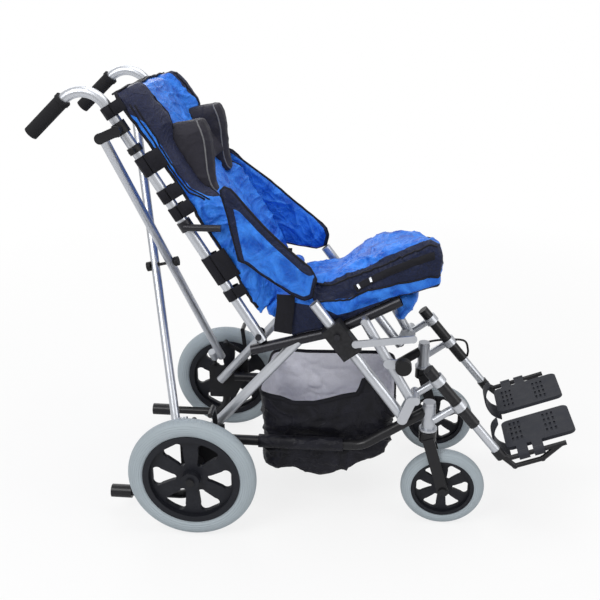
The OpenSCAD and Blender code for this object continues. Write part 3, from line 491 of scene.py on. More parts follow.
def finish_material(tree, shader, colour, roughness, height, distance):
    bump = add(tree, "Bump", {"Height": height, "Distance": distance, "Strength": 1.0})
    tree.links.new(colour, shader.inputs["Base Color"])
    tree.links.new(roughness, shader.inputs["Roughness"])
    tree.links.new(bump.outputs[0], shader.inputs["Normal"])


def dusted(tree, base, amount, colour):
    return blend_colour(tree, use(tree, "Dust", amount)["Mask"], base, colour)


def hard_material(name, look, colour, worn, roughness, shine=None):
    """Metal, plastic or foam: grain, handling wear at the edges and a little dust."""
    tree, shader = new_material(name)
    pores = use(tree, "Grain", look["pores"])
    wear = use(tree, "Edge wear", look["wear"])["Mask"]
    base = blend_colour(tree, pores["Tone"], shade(colour, look["dim"]), colour)
    base = blend_colour(tree, wear, base, worn)
    base = dusted(tree, base, look["dust"], look["dusty"])
    rough = spread(tree, pores["Tone"], 0.0, 1.0, roughness, roughness + look["haze"])
    finish_material(tree, shader, base, rough, pores["Height"], look["depth"])
    shader.inputs["Specular IOR Level"].default_value = look["specular"]
    if shine is not None:
        metallic = plus(tree, times(tree, wear, 1.0 - shine), shine, clamp=True)
        tree.links.new(metallic, shader.inputs["Metallic"])


def tyre_material(name, colour, rings, ribs):
    """Grey rubber with rings on its walls and a ribbed tread."""
    tree, shader = new_material(name)
    ring = use(tree, "Tyre rings", rings, ribs)
    pores = use(tree, "Grain", 700.0)
    base = blend_colour(tree, pores["Tone"], shade(colour, 0.9), colour)
    base = blend_colour(tree, ring["Tone"], base, shade(colour, 0.86))
    base = dusted(tree, base, 0.08, TYRE_DUST)
    rough = spread(tree, pores["Tone"], 0.0, 1.0, 0.6, 0.78)
    height = plus(tree, ring["Height"], times(tree, pores["Height"], 0.12))
    finish_material(tree, shader, base, rough, height, 0.0007)


def cloth_material(name, dark, light, panel=None, sheen=0.02):
    """Woven cloth with wandering creases, with painted shade and painted highlights on them, from
    the dark to the light colour. A panel's colour shows where the mesh says so.
    """
    roughness, threads, depth, scale = WEAVES[name]
    tree, shader = new_material(name)
    thread = use(tree, "Weave", threads)
    crease = use(tree, "Creases", scale, 5.0)
    # Painted shade and light: broad patches go from the dark to the lit colour, and the crease
    # crests get a painted highlight
    base = blend_colour(tree, crease["Tone"], dark, light)
    base = blend_colour(tree, times(tree, crease["Height"], CREST_LIGHT), base, light)
    rough = spread(tree, crease["Tone"], 0.0, 1.0, roughness, roughness + 0.14)
    if panel is not None:
        inside = add(tree, "Attribute", attribute_name="panel").outputs["Fac"]
        mask = spread(tree, inside, -PANEL_FADE, PANEL_FADE)
        cover = blend_colour(tree, thread["Tone"], shade(panel, 0.6), shade(panel, 1.25))
        base = blend_colour(tree, mask, base, cover)
        rough = plus(tree, rough, times(tree, mask, PANEL_ROUGHER))
    dim = times(tree, thread["Tone"], THREAD_DIM)
    base = blend_colour(tree, dim, base, shade(dark, 0.55))
    base = dusted(tree, base, 0.015, CLOTH_DUST)
    folds = times(tree, crease["Height"], depth)
    height = plus(tree, folds, times(tree, thread["Height"], THREAD_DEPTH))
    finish_material(tree, shader, base, rough, height, 1.0)
    shader.inputs["Specular IOR Level"].default_value = 0.16 if panel is None else 0.2
    shader.inputs["Sheen Weight"].default_value = sheen
    shader.inputs["Sheen Roughness"].default_value = 0.5


# Meshes


def new_piece(name, verts, faces, material):
    """A smooth-shaded object in the scene, with its material."""
    mesh = bpy.data.meshes.new(name)
    mesh.from_pydata([tuple(v) for v in verts], [], faces)
    mesh.validate()
    mesh.update()
    obj = bpy.data.objects.new(name, mesh)
    bpy.context.scene.collection.objects.link(obj)
    mesh.materials.append(MATERIALS[material])
    mesh.polygons.foreach_set("use_smooth", [True] * len(mesh.polygons))
    return obj


def face_outwards(obj):
    """Welds points that fall together and turns every face outwards."""
    work = bmesh.new()
    work.from_mesh(obj.data)
    bmesh.ops.remove_doubles(work, verts=work.verts, dist=0.01 * MM)
    bmesh.ops.recalc_face_normals(work, faces=work.faces)
    work.to_mesh(obj.data)
    work.free()


def closed_form(name, front, rear, material):
    """A closed form between two grids of places, its sides joined all round."""
    rows, cols = len(front), len(front[0])
    verts = [p for row in front + rear for p in row]
    k = rows * cols
    faces = []
    for i in range(rows - 1):
        for j in range(cols - 1):
            a = i * cols + j
            faces.append((a, a + 1, a + cols + 1, a + cols))
            faces.append((k + a, k + a + cols, k + a + cols + 1, k + a + 1))
    rim = [(0, j) for j in range(cols - 1)]
    rim += [(i, cols - 1) for i in range(rows - 1)]
    rim += [(rows - 1, j) for j in range(cols - 1, 0, -1)]
    rim += [(i, 0) for i in range(rows - 1, 0, -1)]
    for (i0, j0), (i1, j1) in zip(rim, rim[1:] + rim[:1]):
        a, b = i0 * cols + j0, i1 * cols + j1
        faces.append((b, a, k + a, k + b))
    obj = new_piece(name, verts, faces, material)
    face_outwards(obj)
    return obj


def select_only(obj):
    bpy.ops.object.select_all(action="DESELECT")
    obj.select_set(True)
    bpy.context.view_layer.objects.active = obj


def apply_modifier(obj, kind, **settings):
    modifier = obj.modifiers.new(kind.title(), kind)
    for key, value in settings.items():
        setattr(modifier, key, value)
    select_only(obj)
    bpy.ops.object.modifier_apply(modifier=modifier.name)


def set_points(obj, points):
    for vertex, point in zip(obj.data.vertices, points):
        vertex.co = point
    obj.data.update()


CLOTH_FEEL = {
    "quality": 5,
    "mass": 0.25,
    "tension_stiffness": 14,
    "compression_stiffness": 14,
    "shear_stiffness": 5,
    "bending_stiffness": 0.4,
    "use_pressure": True,
    "shrink_min": -0.03,
}
# Mesh size in metres, pressure of the filling, and how far a point may move in metres
PADS = {
    "backrest": (0.0055, 3.0, 0.006),
    "wing": (0.0045, 3.5, 0.004),
    "head pad": (0.005, 3.5, 0.005),
    "seat": (0.0055, 3.5, 0.007),
    "roll": (0.005, 2.5, 0.003),
}
# Shares of the crease depth set by the user
CREASED = {"backrest": 1.3, "wing": 1.5, "seat": 1.05, "roll": 0.7}
CREASE_SEED = 7
CREST_SHARPNESS = 2.6
WANDER_PACE = 0.7
WANDER_SIZE = 0.55
FINE_PACE = 2.3
FINE_SHIFT = Vector((7, 3, 1))
BROAD_PACE = 0.45
# How much the creases, the fine creases and the broad waves lift the cloth, and the level
RELIEF = (0.9, 0.4, 0.7, -0.45)


def swell(obj, kind, pinned=None):
    """Remeshes a pad and lets its cover swell as cloth."""
    voxel, pressure, cap = PADS[kind]
    apply_modifier(obj, "REMESH", mode="VOXEL", voxel_size=voxel)
    start = [v.co.copy() for v in obj.data.vertices]
    modifier = obj.modifiers.new("Swell", "CLOTH")
    feel = modifier.settings
    for key, value in CLOTH_FEEL.items():
        setattr(feel, key, value)
    feel.uniform_pressure_force = pressure
    feel.effector_weights.gravity = 0
    modifier.collision_settings.use_collision = False
    if pinned:
        pins = obj.vertex_groups.new(name="pins")
        pins.add([v.index for v in obj.data.vertices if pinned(v.co)], 1.0, "REPLACE")
        feel.vertex_group_mass = "pins"
    scene = bpy.context.scene
    for step in range(1, scene.stroller_stage.fill_frames + 1):
        scene.frame_set(step)
    swollen = obj.evaluated_get(bpy.context.evaluated_depsgraph_get()).to_mesh()
    moves = [v.co - a for v, a in zip(swollen.vertices, start)]
    obj.modifiers.remove(modifier)
    scene.frame_set(1)
    shares = [min(1.0, cap / max(move.length, 1e-9)) for move in moves]
    set_points(obj, [a + move * s for a, move, s in zip(start, moves, shares)])
    apply_modifier(obj, "SUBSURF", levels=1, render_levels=1)
    obj.data.polygons.foreach_set("use_smooth", [True] * len(obj.data.polygons))


def ridge(place):
    """Sharp crest lines of a smooth noise, from 0 to 1."""
    return max(0.0, 1.0 - abs(noise.noise(place)) * CREST_SHARPNESS) ** 3


def crumple(obj, depth, fold, slack=None):
    """Moves a cover in and out along creases. fold(co) gives the place in the creases' own
    field, and slack(co) how loose the cover is there."""
    noise.seed_set(CREASE_SEED)
    moved = []
    for vertex in obj.data.vertices:
        co = vertex.co.copy()
        loose = slack(co) if slack else 1.0
        if loose > 0:
            place = fold(co)
            wander = noise.noise_vector(place * WANDER_PACE) * WANDER_SIZE
            high = ridge(place + wander)
            fine = ridge(place * FINE_PACE + wander * 2 + FINE_SHIFT)
            broad = noise.noise(place * BROAD_PACE)
            relief = sum(a * b for a, b in zip(RELIEF, (high, fine, broad, 1)))
            co += vertex.normal * (depth * loose * relief)
        moved.append(co)
    set_points(obj, moved)


def mark_panel(obj, distance):
    """Stores how far each point lies inside the second colour's panel, in millimetres."""
    field = obj.data.attributes.new("panel", "FLOAT", "POINT")
    field.data.foreach_set("value", [distance(v.co) for v in obj.data.vertices])


def surface_of(obj):
    work = bmesh.new()
    work.from_mesh(obj.data)
    tree = BVHTree.FromBMesh(work)
    work.free()
    return tree


def laid(surface, points, lift=0.0):
    """Points moved onto a surface, and the surface's normals there."""
    nearest = [surface.find_nearest(p)[:2] for p in points]
    return [co + normal * lift for co, normal in nearest], [normal for _, normal in nearest]


def sweep(name, points, shape, material, normals=None, closed=False, caps=True, scale=None):
    """A form of the outline shape, (across, out) pairs, carried along points."""
    count, m = len(points), len(shape)
    verts, faces = [], []
    up = None
    for i, p in enumerate(points):
        before = points[i - 1] if i or closed else p
        after = points[(i + 1) % count] if i < count - 1 or closed else p
        forward = (after - before).normalized()
        if normals:
            up = normals[i]
        elif up is None:
            up = Vector((0, 0, 1)) if abs(forward.z) < 0.9 else Vector((1, 0, 0))
        up = (up - forward * up.dot(forward)).normalized()
        across = forward.cross(up)
        size = scale[i] if scale else 1.0
        verts += [p + across * (a * size) + up * (b * size) for a, b in shape]
    for i in range(count if closed else count - 1):
        j = (i + 1) % count
        for k in range(m):
            n = (k + 1) % m
            faces.append((i * m + k, j * m + k, j * m + n, i * m + n))
    if caps and not closed:
        faces.append(tuple(range(m)))
        faces.append(tuple((count - 1) * m + k for k in reversed(range(m))))
    obj = new_piece(name, verts, faces, material)
    face_outwards(obj)
    return obj


def round_shape(diameter, sides=10):
    turns = [ROUND * k / sides for k in range(sides)]
    return [(math.cos(a) * diameter / 2, math.sin(a) * diameter / 2) for a in turns]


def strap_shape(width, thickness):
    """Section of webbing in metres: flat with soft edges."""
    w, t = width / 2, thickness / 2
    e = thickness * 0.35
    half = [(-w, -t + e), (-w, t - e), (-w + e, t), (w - e, t)]
    return half + [(-across, -out) for across, out in half]


def cord(surface, line, diameter, lift=0.0, material="Piping", closed=False):
    """Piping laid along a line on a surface."""
    places, normals = laid(surface, line, lift)
    return sweep("cord", places, round_shape(diameter), material, normals, closed)


def joined(name, parts):
    """One or more meshes as one piece of that name."""
    select_only(parts[0])
    for part in parts[1:]:
        part.select_set(True)
    if len(parts) > 1:
        bpy.ops.object.join()
    parts[0].name = name
    parts[0].data.name = name
    return parts[0]


def block(size, matrix, material, bevel):
    """A moulded block with rounded edges, its sizes in millimetres."""
    work = bmesh.new()
    bmesh.ops.create_cube(work, size=1.0)
    bmesh.ops.scale(work, vec=[s * MM for s in size], verts=work.verts)
    edges = {"geom": work.edges[:], "affect": "EDGES", "segments": 3, "profile": 0.5}
    bmesh.ops.bevel(work, offset=bevel * MM, **edges)
    bmesh.ops.transform(work, matrix=matrix, verts=work.verts)
    mesh = bpy.data.meshes.new("block")
    work.to_mesh(mesh)
    work.free()
    obj = bpy.data.objects.new("block", mesh)
    bpy.context.scene.collection.objects.link(obj)
    mesh.materials.append(MATERIALS[material])
    select_only(obj)
    bpy.ops.object.shade_smooth_by_angle(angle=math.radians(40))
    return obj


def settle(obj, body, folds=None):
    """Ties a piece to its body; with folds, gives it a mesh of its own."""
    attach(obj, body)
    if folds:
        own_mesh(obj)
    return obj


def cloth():
    return bpy.context.scene.stroller_cloth


# Metal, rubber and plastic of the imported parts


CAD_FINISH = {
    "Rear tyre rubber": ["rear_tyre"],
    "Front tyre rubber": ["front_tyre"],
    "Wheel plastic": ["rear_rim", "front_rim"],
    "Bright cast metal": ["caster_housing", "front_strut"],
    "Silver tube": ["front_leg", "rear_leg", "foot_tube", "back_tube", "brace_tube"],
    "Dark tube": ["seat_rail", "arm_bar"],
    "Black metal": [
        "caster_fork", "lower_rail", "brake_lever", "anti_tip", "hanger_sleeve", "plate_support",
    ],
    "Bracket plastic": ["leg_clamp", "axle_bracket", "brace_clamp"],
    "Knob rubber": ["frame_knob", "brace_bolt"],
    "Footplate plastic": ["footplate"],
    "Grip foam": ["grip"],
}
EDGE_ANGLE = math.radians(38)


class STROLLER_OT_finishes(bpy.types.Operator):
    """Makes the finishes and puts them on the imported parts"""

    bl_idname = "stroller.finishes"
    bl_label = "Finishes"

    def execute(self, context):
        looks, soft = context.scene.stroller_frame, context.scene.stroller_cloth
        silver, black = tuple(looks.silver), tuple(looks.black)
        cast = shade(silver, 0.92)
        for name, look, colour, worn, roughness, shine in (
            ("Silver tube", METAL, silver, (0.72, 0.72, 0.74), 0.30, 0.82),
            ("Bright cast metal", METAL, cast, (0.74, 0.74, 0.75), 0.34, 0.78),
            ("Dark tube", METAL, (0.022, 0.022, 0.027), (0.16, 0.16, 0.17), 0.24, 0.35),
            ("Black metal", METAL, black, (0.12, 0.12, 0.12), 0.26, 0.10),
            ("Wheel plastic", PLASTIC, (0.010, 0.011, 0.016), (0.06, 0.06, 0.07), 0.42, None),
            ("Bracket plastic", PLASTIC, (0.012, 0.012, 0.014), (0.08, 0.08, 0.09), 0.40, None),
            ("Knob rubber", PLASTIC, (0.012, 0.012, 0.013), (0.06, 0.06, 0.06), 0.52, None),
            ("Grip foam", FOAM, (0.012, 0.012, 0.014), (0.03, 0.03, 0.03), 0.78, None),
            ("Footplate plastic", RIBBED, (0.020, 0.022, 0.030), (0.09, 0.09, 0.10), 0.50, None),
        ):
            hard_material(name, look, colour, worn, roughness, shine)
        tyre_material("Rear tyre rubber", tuple(looks.tyre), 60.0, 190.0)
        tyre_material("Front tyre rubber", tuple(looks.tyre), 44.0, 130.0)
        blue, lit = tuple(soft.blue), tuple(soft.blue_lit)
        dark, charcoal = tuple(soft.black), tuple(soft.charcoal)
        pale = tuple(soft.lining)
        # Each cloth's second colour is its lit copy, for the painted highlights on its creases
        cloth_material("Blue nylon", blue, lit, panel=charcoal)
        cloth_material("Blue nylon and black", blue, lit, panel=shade(dark, 1.5))
        cloth_material("Charcoal cloth", charcoal, shade(charcoal, 1.5))
        cloth_material("Black nylon", dark, shade(dark, 2.6))
        cloth_material("Piping", dark, shade(dark, 1.6))
        cloth_material("Webbing", dark, shade(dark, 1.8), sheen=0.05)
        cloth_material("Grey piping", (0.13, 0.13, 0.14), (0.19, 0.19, 0.20))
        cloth_material("Basket lining", pale, shade(pale, 1.1))
        finishes = {kind: name for name, kinds in CAD_FINISH.items() for kind in kinds}
        for name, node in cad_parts.items():
            kind = name.removesuffix("_left").removesuffix("_right")
            if kind not in finishes:
                continue
            node.data.materials.clear()
            node.data.materials.append(MATERIALS[finishes[kind]])
            bevel = node.modifiers.new("Edges", "BEVEL")
            bevel.width = looks.edge
            bevel.segments = 2
            bevel.limit_method = "ANGLE"
            bevel.angle_limit = EDGE_ANGLE
            bevel.harden_normals = True
        return {"FINISHED"}


# Backrest: rear, flat, front and crest lie before the back tubes; low and length go up them


BACK_HALF = 186
BACK_LOW = 42
BACK_LEN = 592
BACK_REAR = 24
BACK_FLAT = 42
BACK_FRONT = 68
BACK_CREST = 98
BACK_DIP = 26
BACK_TAPER = {"foot": 0.06, "near": 0.05, "far": 0.22}
BACK_DROP = {"far": 0.035, "near": -0.004}
BACK_PIN = 6
# Where the side rolls rise across, and where they dip beside the head pads
ROLL = (104, 148)
DIP_START = (328, 372)
DIP_END = (530, 480)
PANEL_START = 300
PANEL_LINE = [(300, 112), (325, 98), (345, 78), (376, 59), (420, 54), (530, 57), (640, 58)]
PANEL_IN = [(300, 150), (420, 140), (523, 137), (572, 130), (600, 122), (640, 108)]
BINDING_DEPTHS = (6, 17, 28)
# Shift of each line from the panel's edge, its share of the piping, and where it starts
PANEL_SEAMS = ((-8, 0.55, 342), (1, 0.5, 336))
SEAM_TOP = {1: 626, -1: 600}


def back_place(t, v, depth):
    """A place on the backrest: t up it, v from -1 at the near edge to 1 at the far one."""
    side = "near" if v < 0 else "far"
    foot = max(0.0, (0.2 - t) / 0.2) ** 2
    top = max(0.0, (t - 0.86) / 0.14) ** 3
    half = BACK_HALF * (1 - BACK_TAPER["foot"] * foot - BACK_TAPER[side] * top)
    up = BACK_LOW + BACK_LEN * t * (1 - BACK_DROP[side] * v * v)
    return on_back(depth, v * half, up)


def back_depth(t, v):
    """How far the backrest's front stands before the tubes: flat middle, raised side rolls."""
    u = BACK_LOW + BACK_LEN * t
    crest = BACK_CREST - BACK_DIP * rise(u, *DIP_START) * rise(u, *DIP_END)
    roll = rise(abs(v) * BACK_HALF, *ROLL)
    full = rounded(v, 9) * rounded(2 * t - 1, 30 if t > 0.5 else 14)
    return BACK_FLAT + (BACK_FRONT - BACK_FLAT + (crest - BACK_FRONT) * roll) * full


def back_rear(v):
    return BACK_REAR + 1 + 9 * abs(v) ** 6


class STROLLER_OT_backrest(bpy.types.Operator):
    """Sews the backrest: blue front, charcoal side panels, black piping"""

    bl_idname = "stroller.backrest"
    bl_label = "Backrest"

    def execute(self, context):
        front = grid(60, 44, lambda t, s: back_place(t, 2 * s - 1, back_depth(t, 2 * s - 1)))
        rear = grid(60, 44, lambda t, s: back_place(t, 2 * s - 1, back_rear(2 * s - 1)))
        obj = closed_form("backrest_cover", front, rear, "Blue nylon")
        swell(obj, "backrest", lambda co: from_back(co)[0] < BACK_REAR + BACK_PIN)

        def folds(co):
            n, y, u = from_back(co)
            return Vector((u / 46, y / 105, n / 60))

        def slack(co):
            n, y, u = from_back(co)
            if n < BACK_REAR + 8:
                return 0.25
            side = 0.75 * rise(abs(y), 132, 152) * rise(u, PANEL_START, 360)
            return (1.0 - side) * (1 - 0.8 * rise(u, 588, 618))

        def panel(co):
            n, y, u = from_back(co)
            line = along(PANEL_LINE, u)
            if y < 0:
                line -= 42 * rise(u, 540, 625)
            return min(abs(y) - along(PANEL_IN, u), n - line, u - PANEL_START)

        crumple(obj, cloth().crease * CREASED["backrest"], folds, slack)
        mark_panel(obj, panel)
        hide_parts("backrest")
        surface = surface_of(obj)
        settle(obj, "cane_left", folds="back")
        width = cloth().piping
        parts = []
        for v in (-1, 1):
            rim = [back_place(k / 60, v, BACK_REAR + 10) for k in range(2, 61)]
            parts.append(cord(surface, rim, width, width * 0.2))
        up = back_way(0, 0, 1)
        for depth in BINDING_DEPTHS:
            edge = [back_place(0.99, v / 24, BACK_REAR + depth) for v in range(-23, 24)]
            places, _ = laid(surface, [p + up * 6 * MM for p in edge], 1.4 * MM)
            line = path_through(places[::3], 3)
            ups = [up] * len(line)
            shape = strap_shape(15 * MM, 4.2 * MM)
            parts.append(sweep("binding", line, shape, "Piping", ups))
        for side in SIDES.values():
            for shift, size, low in PANEL_SEAMS:
                line = [
                    on_back(along(PANEL_LINE, u) + shift, side * (BACK_HALF + 2), u)
                    for u in range(low, SEAM_TOP[side], 8)
                ]
                parts.append(cord(surface, line, width * size))
            crest = [
                on_back(BACK_CREST + 8, side * along(PANEL_IN, u), u) for u in range(320, 622, 8)
            ]
            parts.append(cord(surface, crest, width * 0.5))
        settle(joined("backrest_piping", parts), "cane_left", folds="back")
        return {"FINISHED"}


# Wings: the lower and the upper edge of each, from the rear to the front


NEAR_LOW = [(112, 686), (134, 678), (160, 657), (195, 634), (232, 611), (264, 598), (284, 606)]
NEAR_HIGH = [
    (76, 850), (88, 860), (104, 852), (137, 820), (174, 776),
    (213, 738), (251, 704), (280, 680), (293, 650),
]
FAR_LOW = [(60, 700), (104, 642), (140, 614), (180, 602), (213, 596), (262, 592), (288, 602)]
FAR_HIGH = [
    (24, 862), (48, 850), (96, 814), (145, 778), (180, 748),
    (213, 720), (259, 684), (287, 655), (295, 632),
]
WING_LINES = {1: (FAR_LOW, FAR_HIGH), -1: (NEAR_LOW, NEAR_HIGH)}
WING_STRIP = [(92, 846), (98, 800), (108, 740), (120, 680)]
WING_IN = 186.6
WING_OUT = 206
WING_MIDDLE = (WING_IN + WING_OUT) / 2
# Widths of the black bands; the top one widens towards the rear
WING_BANDS = {"top": 19, "rear": 16, "strip": 12, "low": 11, "front": 8, "inside": 6}


def wing_point(t, v, side, y):
    """A place on a wing: t from its lower to its upper edge, v forwards."""
    (x0, z0), (x1, z1) = (run_along(line, v) for line in WING_LINES[side])
    return at(x0 + (x1 - x0) * t, y, z0 + (z1 - z0) * t)


def make_wing(name, side):
    half = (WING_OUT - WING_IN) / 2 - 2

    def face(out):
        def place(t, v):
            puff = rounded(2 * t - 1, 6) * rounded(2 * v - 1, 8)
            y = WING_MIDDLE + out * half * (0.3 + 0.6 * puff)
            return wing_point(t, v, side, side * y)

        return grid(26, 34, place)

    obj = closed_form(name, face(1), face(-1), "Blue nylon and black")
    swell(obj, "wing", lambda co: co.y * side / MM < WING_IN + 1.5)
    low, high = WING_LINES[side]
    ring = low + high[::-1] + low[:1]

    def folds(co):
        x, y, z = from_scene(co)
        lengthways = (x * 0.63 - z * 0.77) / 95
        crossways = (x * 0.77 + z * 0.63) / 34
        return Vector((lengthways, crossways, y / 60 + side * 3))

    def slack(co):
        x, y, z = from_scene(co)
        return smooth(off_line(ring, x, z) / 24) * (1.0 if y * side > WING_IN + 4 else 0.8)

    def panel(co):
        x, y, z = from_scene(co)
        if y * side < WING_MIDDLE:
            return WING_BANDS["inside"] - off_line(low[-1:] + high[::-1], x, z)
        top = WING_BANDS["top"] + WING_BANDS["rear"] * rise(x, 130, 80)
        return max(
            top - off_line(high[1:-1], x, z),
            WING_BANDS["strip"] - off_line(WING_STRIP, x, z),
            WING_BANDS["low"] - off_line(low, x, z),
            WING_BANDS["front"] - off_line([low[-1], high[-1]], x, z),
        )

    crumple(obj, cloth().crease * CREASED["wing"], folds, slack)
    mark_panel(obj, panel)
    return obj


class STROLLER_OT_wings(bpy.types.Operator):
    """Sews the two side wings with their black edges"""

    bl_idname = "stroller.wings"
    bl_label = "Side wings"

    def execute(self, context):
        for word, side in SIDES.items():
            obj = make_wing(f"wing_cover_{word}", side)
            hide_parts(f"wing_{word}")
            surface = surface_of(obj)
            settle(obj, "cane_left", folds="back")
            ring = [(0, k / 20) for k in range(20)]
            ring += [(k / 10, 1) for k in range(10)]
            ring += [(1, k / 20) for k in range(20, 0, -1)]
            ring += [(k / 10, 0) for k in range(10, 0, -1)]
            line = [wing_point(t, v, side, side * WING_MIDDLE) for t, v in ring]
            edge = cord(surface, line, cloth().piping * 0.9, closed=True)
            settle(
                joined(f"wing_piping_{word}", [edge]), "cane_left", folds="back"
            )
        return {"FINISHED"}


# Head support


HEAD_U = 338
HEAD_H = 160
HEAD_Y = (84, 150)
HEAD_REAR = 56
HEAD_FRONT = 100
HEAD_LEAN = 56
HEAD_BACK = {1: 13, -1: 5}
# The top edge's rise at the rear and fall at the front
HEAD_TIPS = (24, 10)
HEAD_SEAM = 0.9
BAND_REACH = 101
BAND_FRONT = 78
BAND_WRAP = 18
BAND_BULGE = 2.5


def head_point(t, v, out, side):
    """A place on a head pad: t up, v forward, out towards its outer face."""
    rear = HEAD_REAR - HEAD_BACK[side]
    front = HEAD_FRONT - HEAD_BACK[side] + HEAD_LEAN * smooth(t * 1.05)
    puff = rounded(2 * t - 1, 6) * rounded(2 * v - 1, 6)
    middle, half = sum(HEAD_Y) / 2, (HEAD_Y[1] - HEAD_Y[0]) / 2 - 2
    y = middle + out * half * (0.45 + 0.5 * puff)
    u = HEAD_U + HEAD_H * t + HEAD_TIPS[0] * t * (1 - v) - HEAD_TIPS[1] * t * v
    return on_back(rear + (front - rear) * v, side * y, u)


class STROLLER_OT_head_support(bpy.types.Operator):
    """Sews the two head pads and the band that carries them"""

    bl_idname = "stroller.head_support"
    bl_label = "Head support"

    def execute(self, context):
        seams = []
        for word, side in SIDES.items():
            outer = grid(24, 16, lambda t, v: head_point(t, v, 1, side))
            inner = grid(24, 16, lambda t, v: head_point(t, v, -1, side))
            pad = closed_form(f"head_pad_{word}", outer, inner, "Charcoal cloth")
            swell(pad, "head pad")
            crumple(pad, 0.0014, lambda co: co * 22)
            surface = surface_of(pad)
            if side > 0:
                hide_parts("head_support")
            settle(pad, "cane_left", folds="back")
            for out in (1, -1):
                line = [head_point(k / 24, HEAD_SEAM, out, side) for k in range(25)]
                seams.append(cord(surface, line, cloth().piping * 0.5, 0, "Grey piping"))
        settle(joined("head_pad_seams", seams), "cane_left", folds="back")
        points = []
        for k in range(31):
            v = k / 15 - 1
            n = BAND_FRONT + BAND_WRAP * rise(abs(v), 0.62, 0.92)
            n += BAND_BULGE * math.cos(v * math.pi / 2)
            points.append(on_back(n, v * BAND_REACH, HEAD_U + HEAD_H / 2))
        ups = [back_way(1, 0)] * len(points)
        shape = strap_shape(64 * MM, 12 * MM)
        band = sweep("head_band", points, shape, "Charcoal cloth", ups)
        apply_modifier(band, "SUBSURF", levels=1, render_levels=1)
        settle(band, "cane_left", folds="back")
        return {"FINISHED"}


# Seat: tables of (x, z) places; its cover is highest at the near edge


SEAT_X = (230, 573)
SEAT_HALF = 186
SEAT_GAP = 15.6
SEAT_TIP = 24
SEAT_BELLY = 15
RAIL = [(138, 458), (330, 513), (486, 597)]
SEAT_PANEL_TOP = [
    (287, 650), (327, 640), (363, 657), (404, 675), (437, 693),
    (467, 707), (517, 731), (539, 742), (573, 742),
]
SEAT_PANEL_LOW = [(298, 593), (365, 600), (408, 624), (473, 641), (546, 660), (573, 661)]
SEAT_NEAR = [
    (222, 600), (287, 632), (327, 645), (363, 662), (404, 680),
    (437, 697), (467, 712), (517, 735), (545, 746), (573, 742),
]
SEAT_MIDDLE = [
    (222, 596), (300, 612), (350, 622), (370, 646), (388, 660),
    (414, 677), (441, 689), (483, 698), (524, 697), (573, 676),
]
SEAT_FAR = [
    (222, 560), (300, 562), (345, 572), (382, 598), (412, 616),
    (442, 628), (487, 637), (533, 636), (573, 622),
]
SEAT_BLUE_LOW = [
    (222, 588), (303, 580), (342, 562), (395, 577), (458, 606), (523, 621), (567, 644),
]
APRON = [
    (470, 600), (500, 606), (526, 604), (530, 590), (521, 568), (502, 544), (478, 524), (473, 560),
]
JOIN = [
    (174, 574), (198, 582), (226, 586), (238, 576), (232, 556),
    (212, 540), (192, 536), (176, 545), (168, 560),
]
LAP_STRAP = [(378, 627), (400, 645), (430, 660), (475, 680), (520, 700), (556, 714)]
SLIDER = (6, 12, 3)
OUTSIDE = -9
PANEL_Y = 162
PANEL_X = 284
# How far the cover sinks at its edges, as a share of its height
SEAT_SINK = 0.34


def seat_base(x):
    """Height of the seat's underside, just above the rail."""
    return along(RAIL, x) + SEAT_GAP + SEAT_TIP * rise(x, RAIL[-1][0], SEAT_X[1])


def seat_top(x, t, v):
    """Height of the seat's cover."""
    full = rounded(v, 14) * rounded(2 * t - 1, 14)
    edge, reach = (along(SEAT_NEAR, x), 1.12) if v < 0 else (along(SEAT_FAR, x), 1.05)
    middle = along(SEAT_MIDDLE, x)
    high = middle + (edge - middle) * smooth(abs(v) * reach)
    return high - (high - seat_base(x)) * SEAT_SINK * (1 - full)


def seat_low(x, t, v):
    return seat_base(x) + 1 - SEAT_BELLY * rise(abs(v), 0.9, 0.82)


def seat_grid(height):
    def place(t, s):
        x, v = SEAT_X[0] + (SEAT_X[1] - SEAT_X[0]) * t, 2 * s - 1
        return at(x, SEAT_HALF * v, height(x, t, v))

    return grid(44, 44, place)


def across_roll(name, table, reach):
    """A closed roll of cloth across the seat, its section a ring of (x, z) places."""
    outline = path_through([at(x, 0, z) for x, z in table + table[:1]], 5)[:-1]
    middle = sum(outline, Vector()) / len(outline)
    steps, m = 24, len(outline)
    verts, faces = [], []
    for k in range(steps + 1):
        y = reach * (2 * k / steps - 1)
        size = 0.55 + 0.45 * rounded(y / (reach + 1), 6)
        verts += [middle + (p - middle) * size + Vector((0, y * MM, 0)) for p in outline]
    for k in range(steps):
        for i in range(m):
            n = (i + 1) % m
            faces.append((k * m + i, (k + 1) * m + i, (k + 1) * m + n, k * m + n))
    faces += [tuple(reversed(range(m))), tuple(steps * m + i for i in range(m))]
    obj = new_piece(name, verts, faces, "Blue nylon and black")
    face_outwards(obj)
    return obj


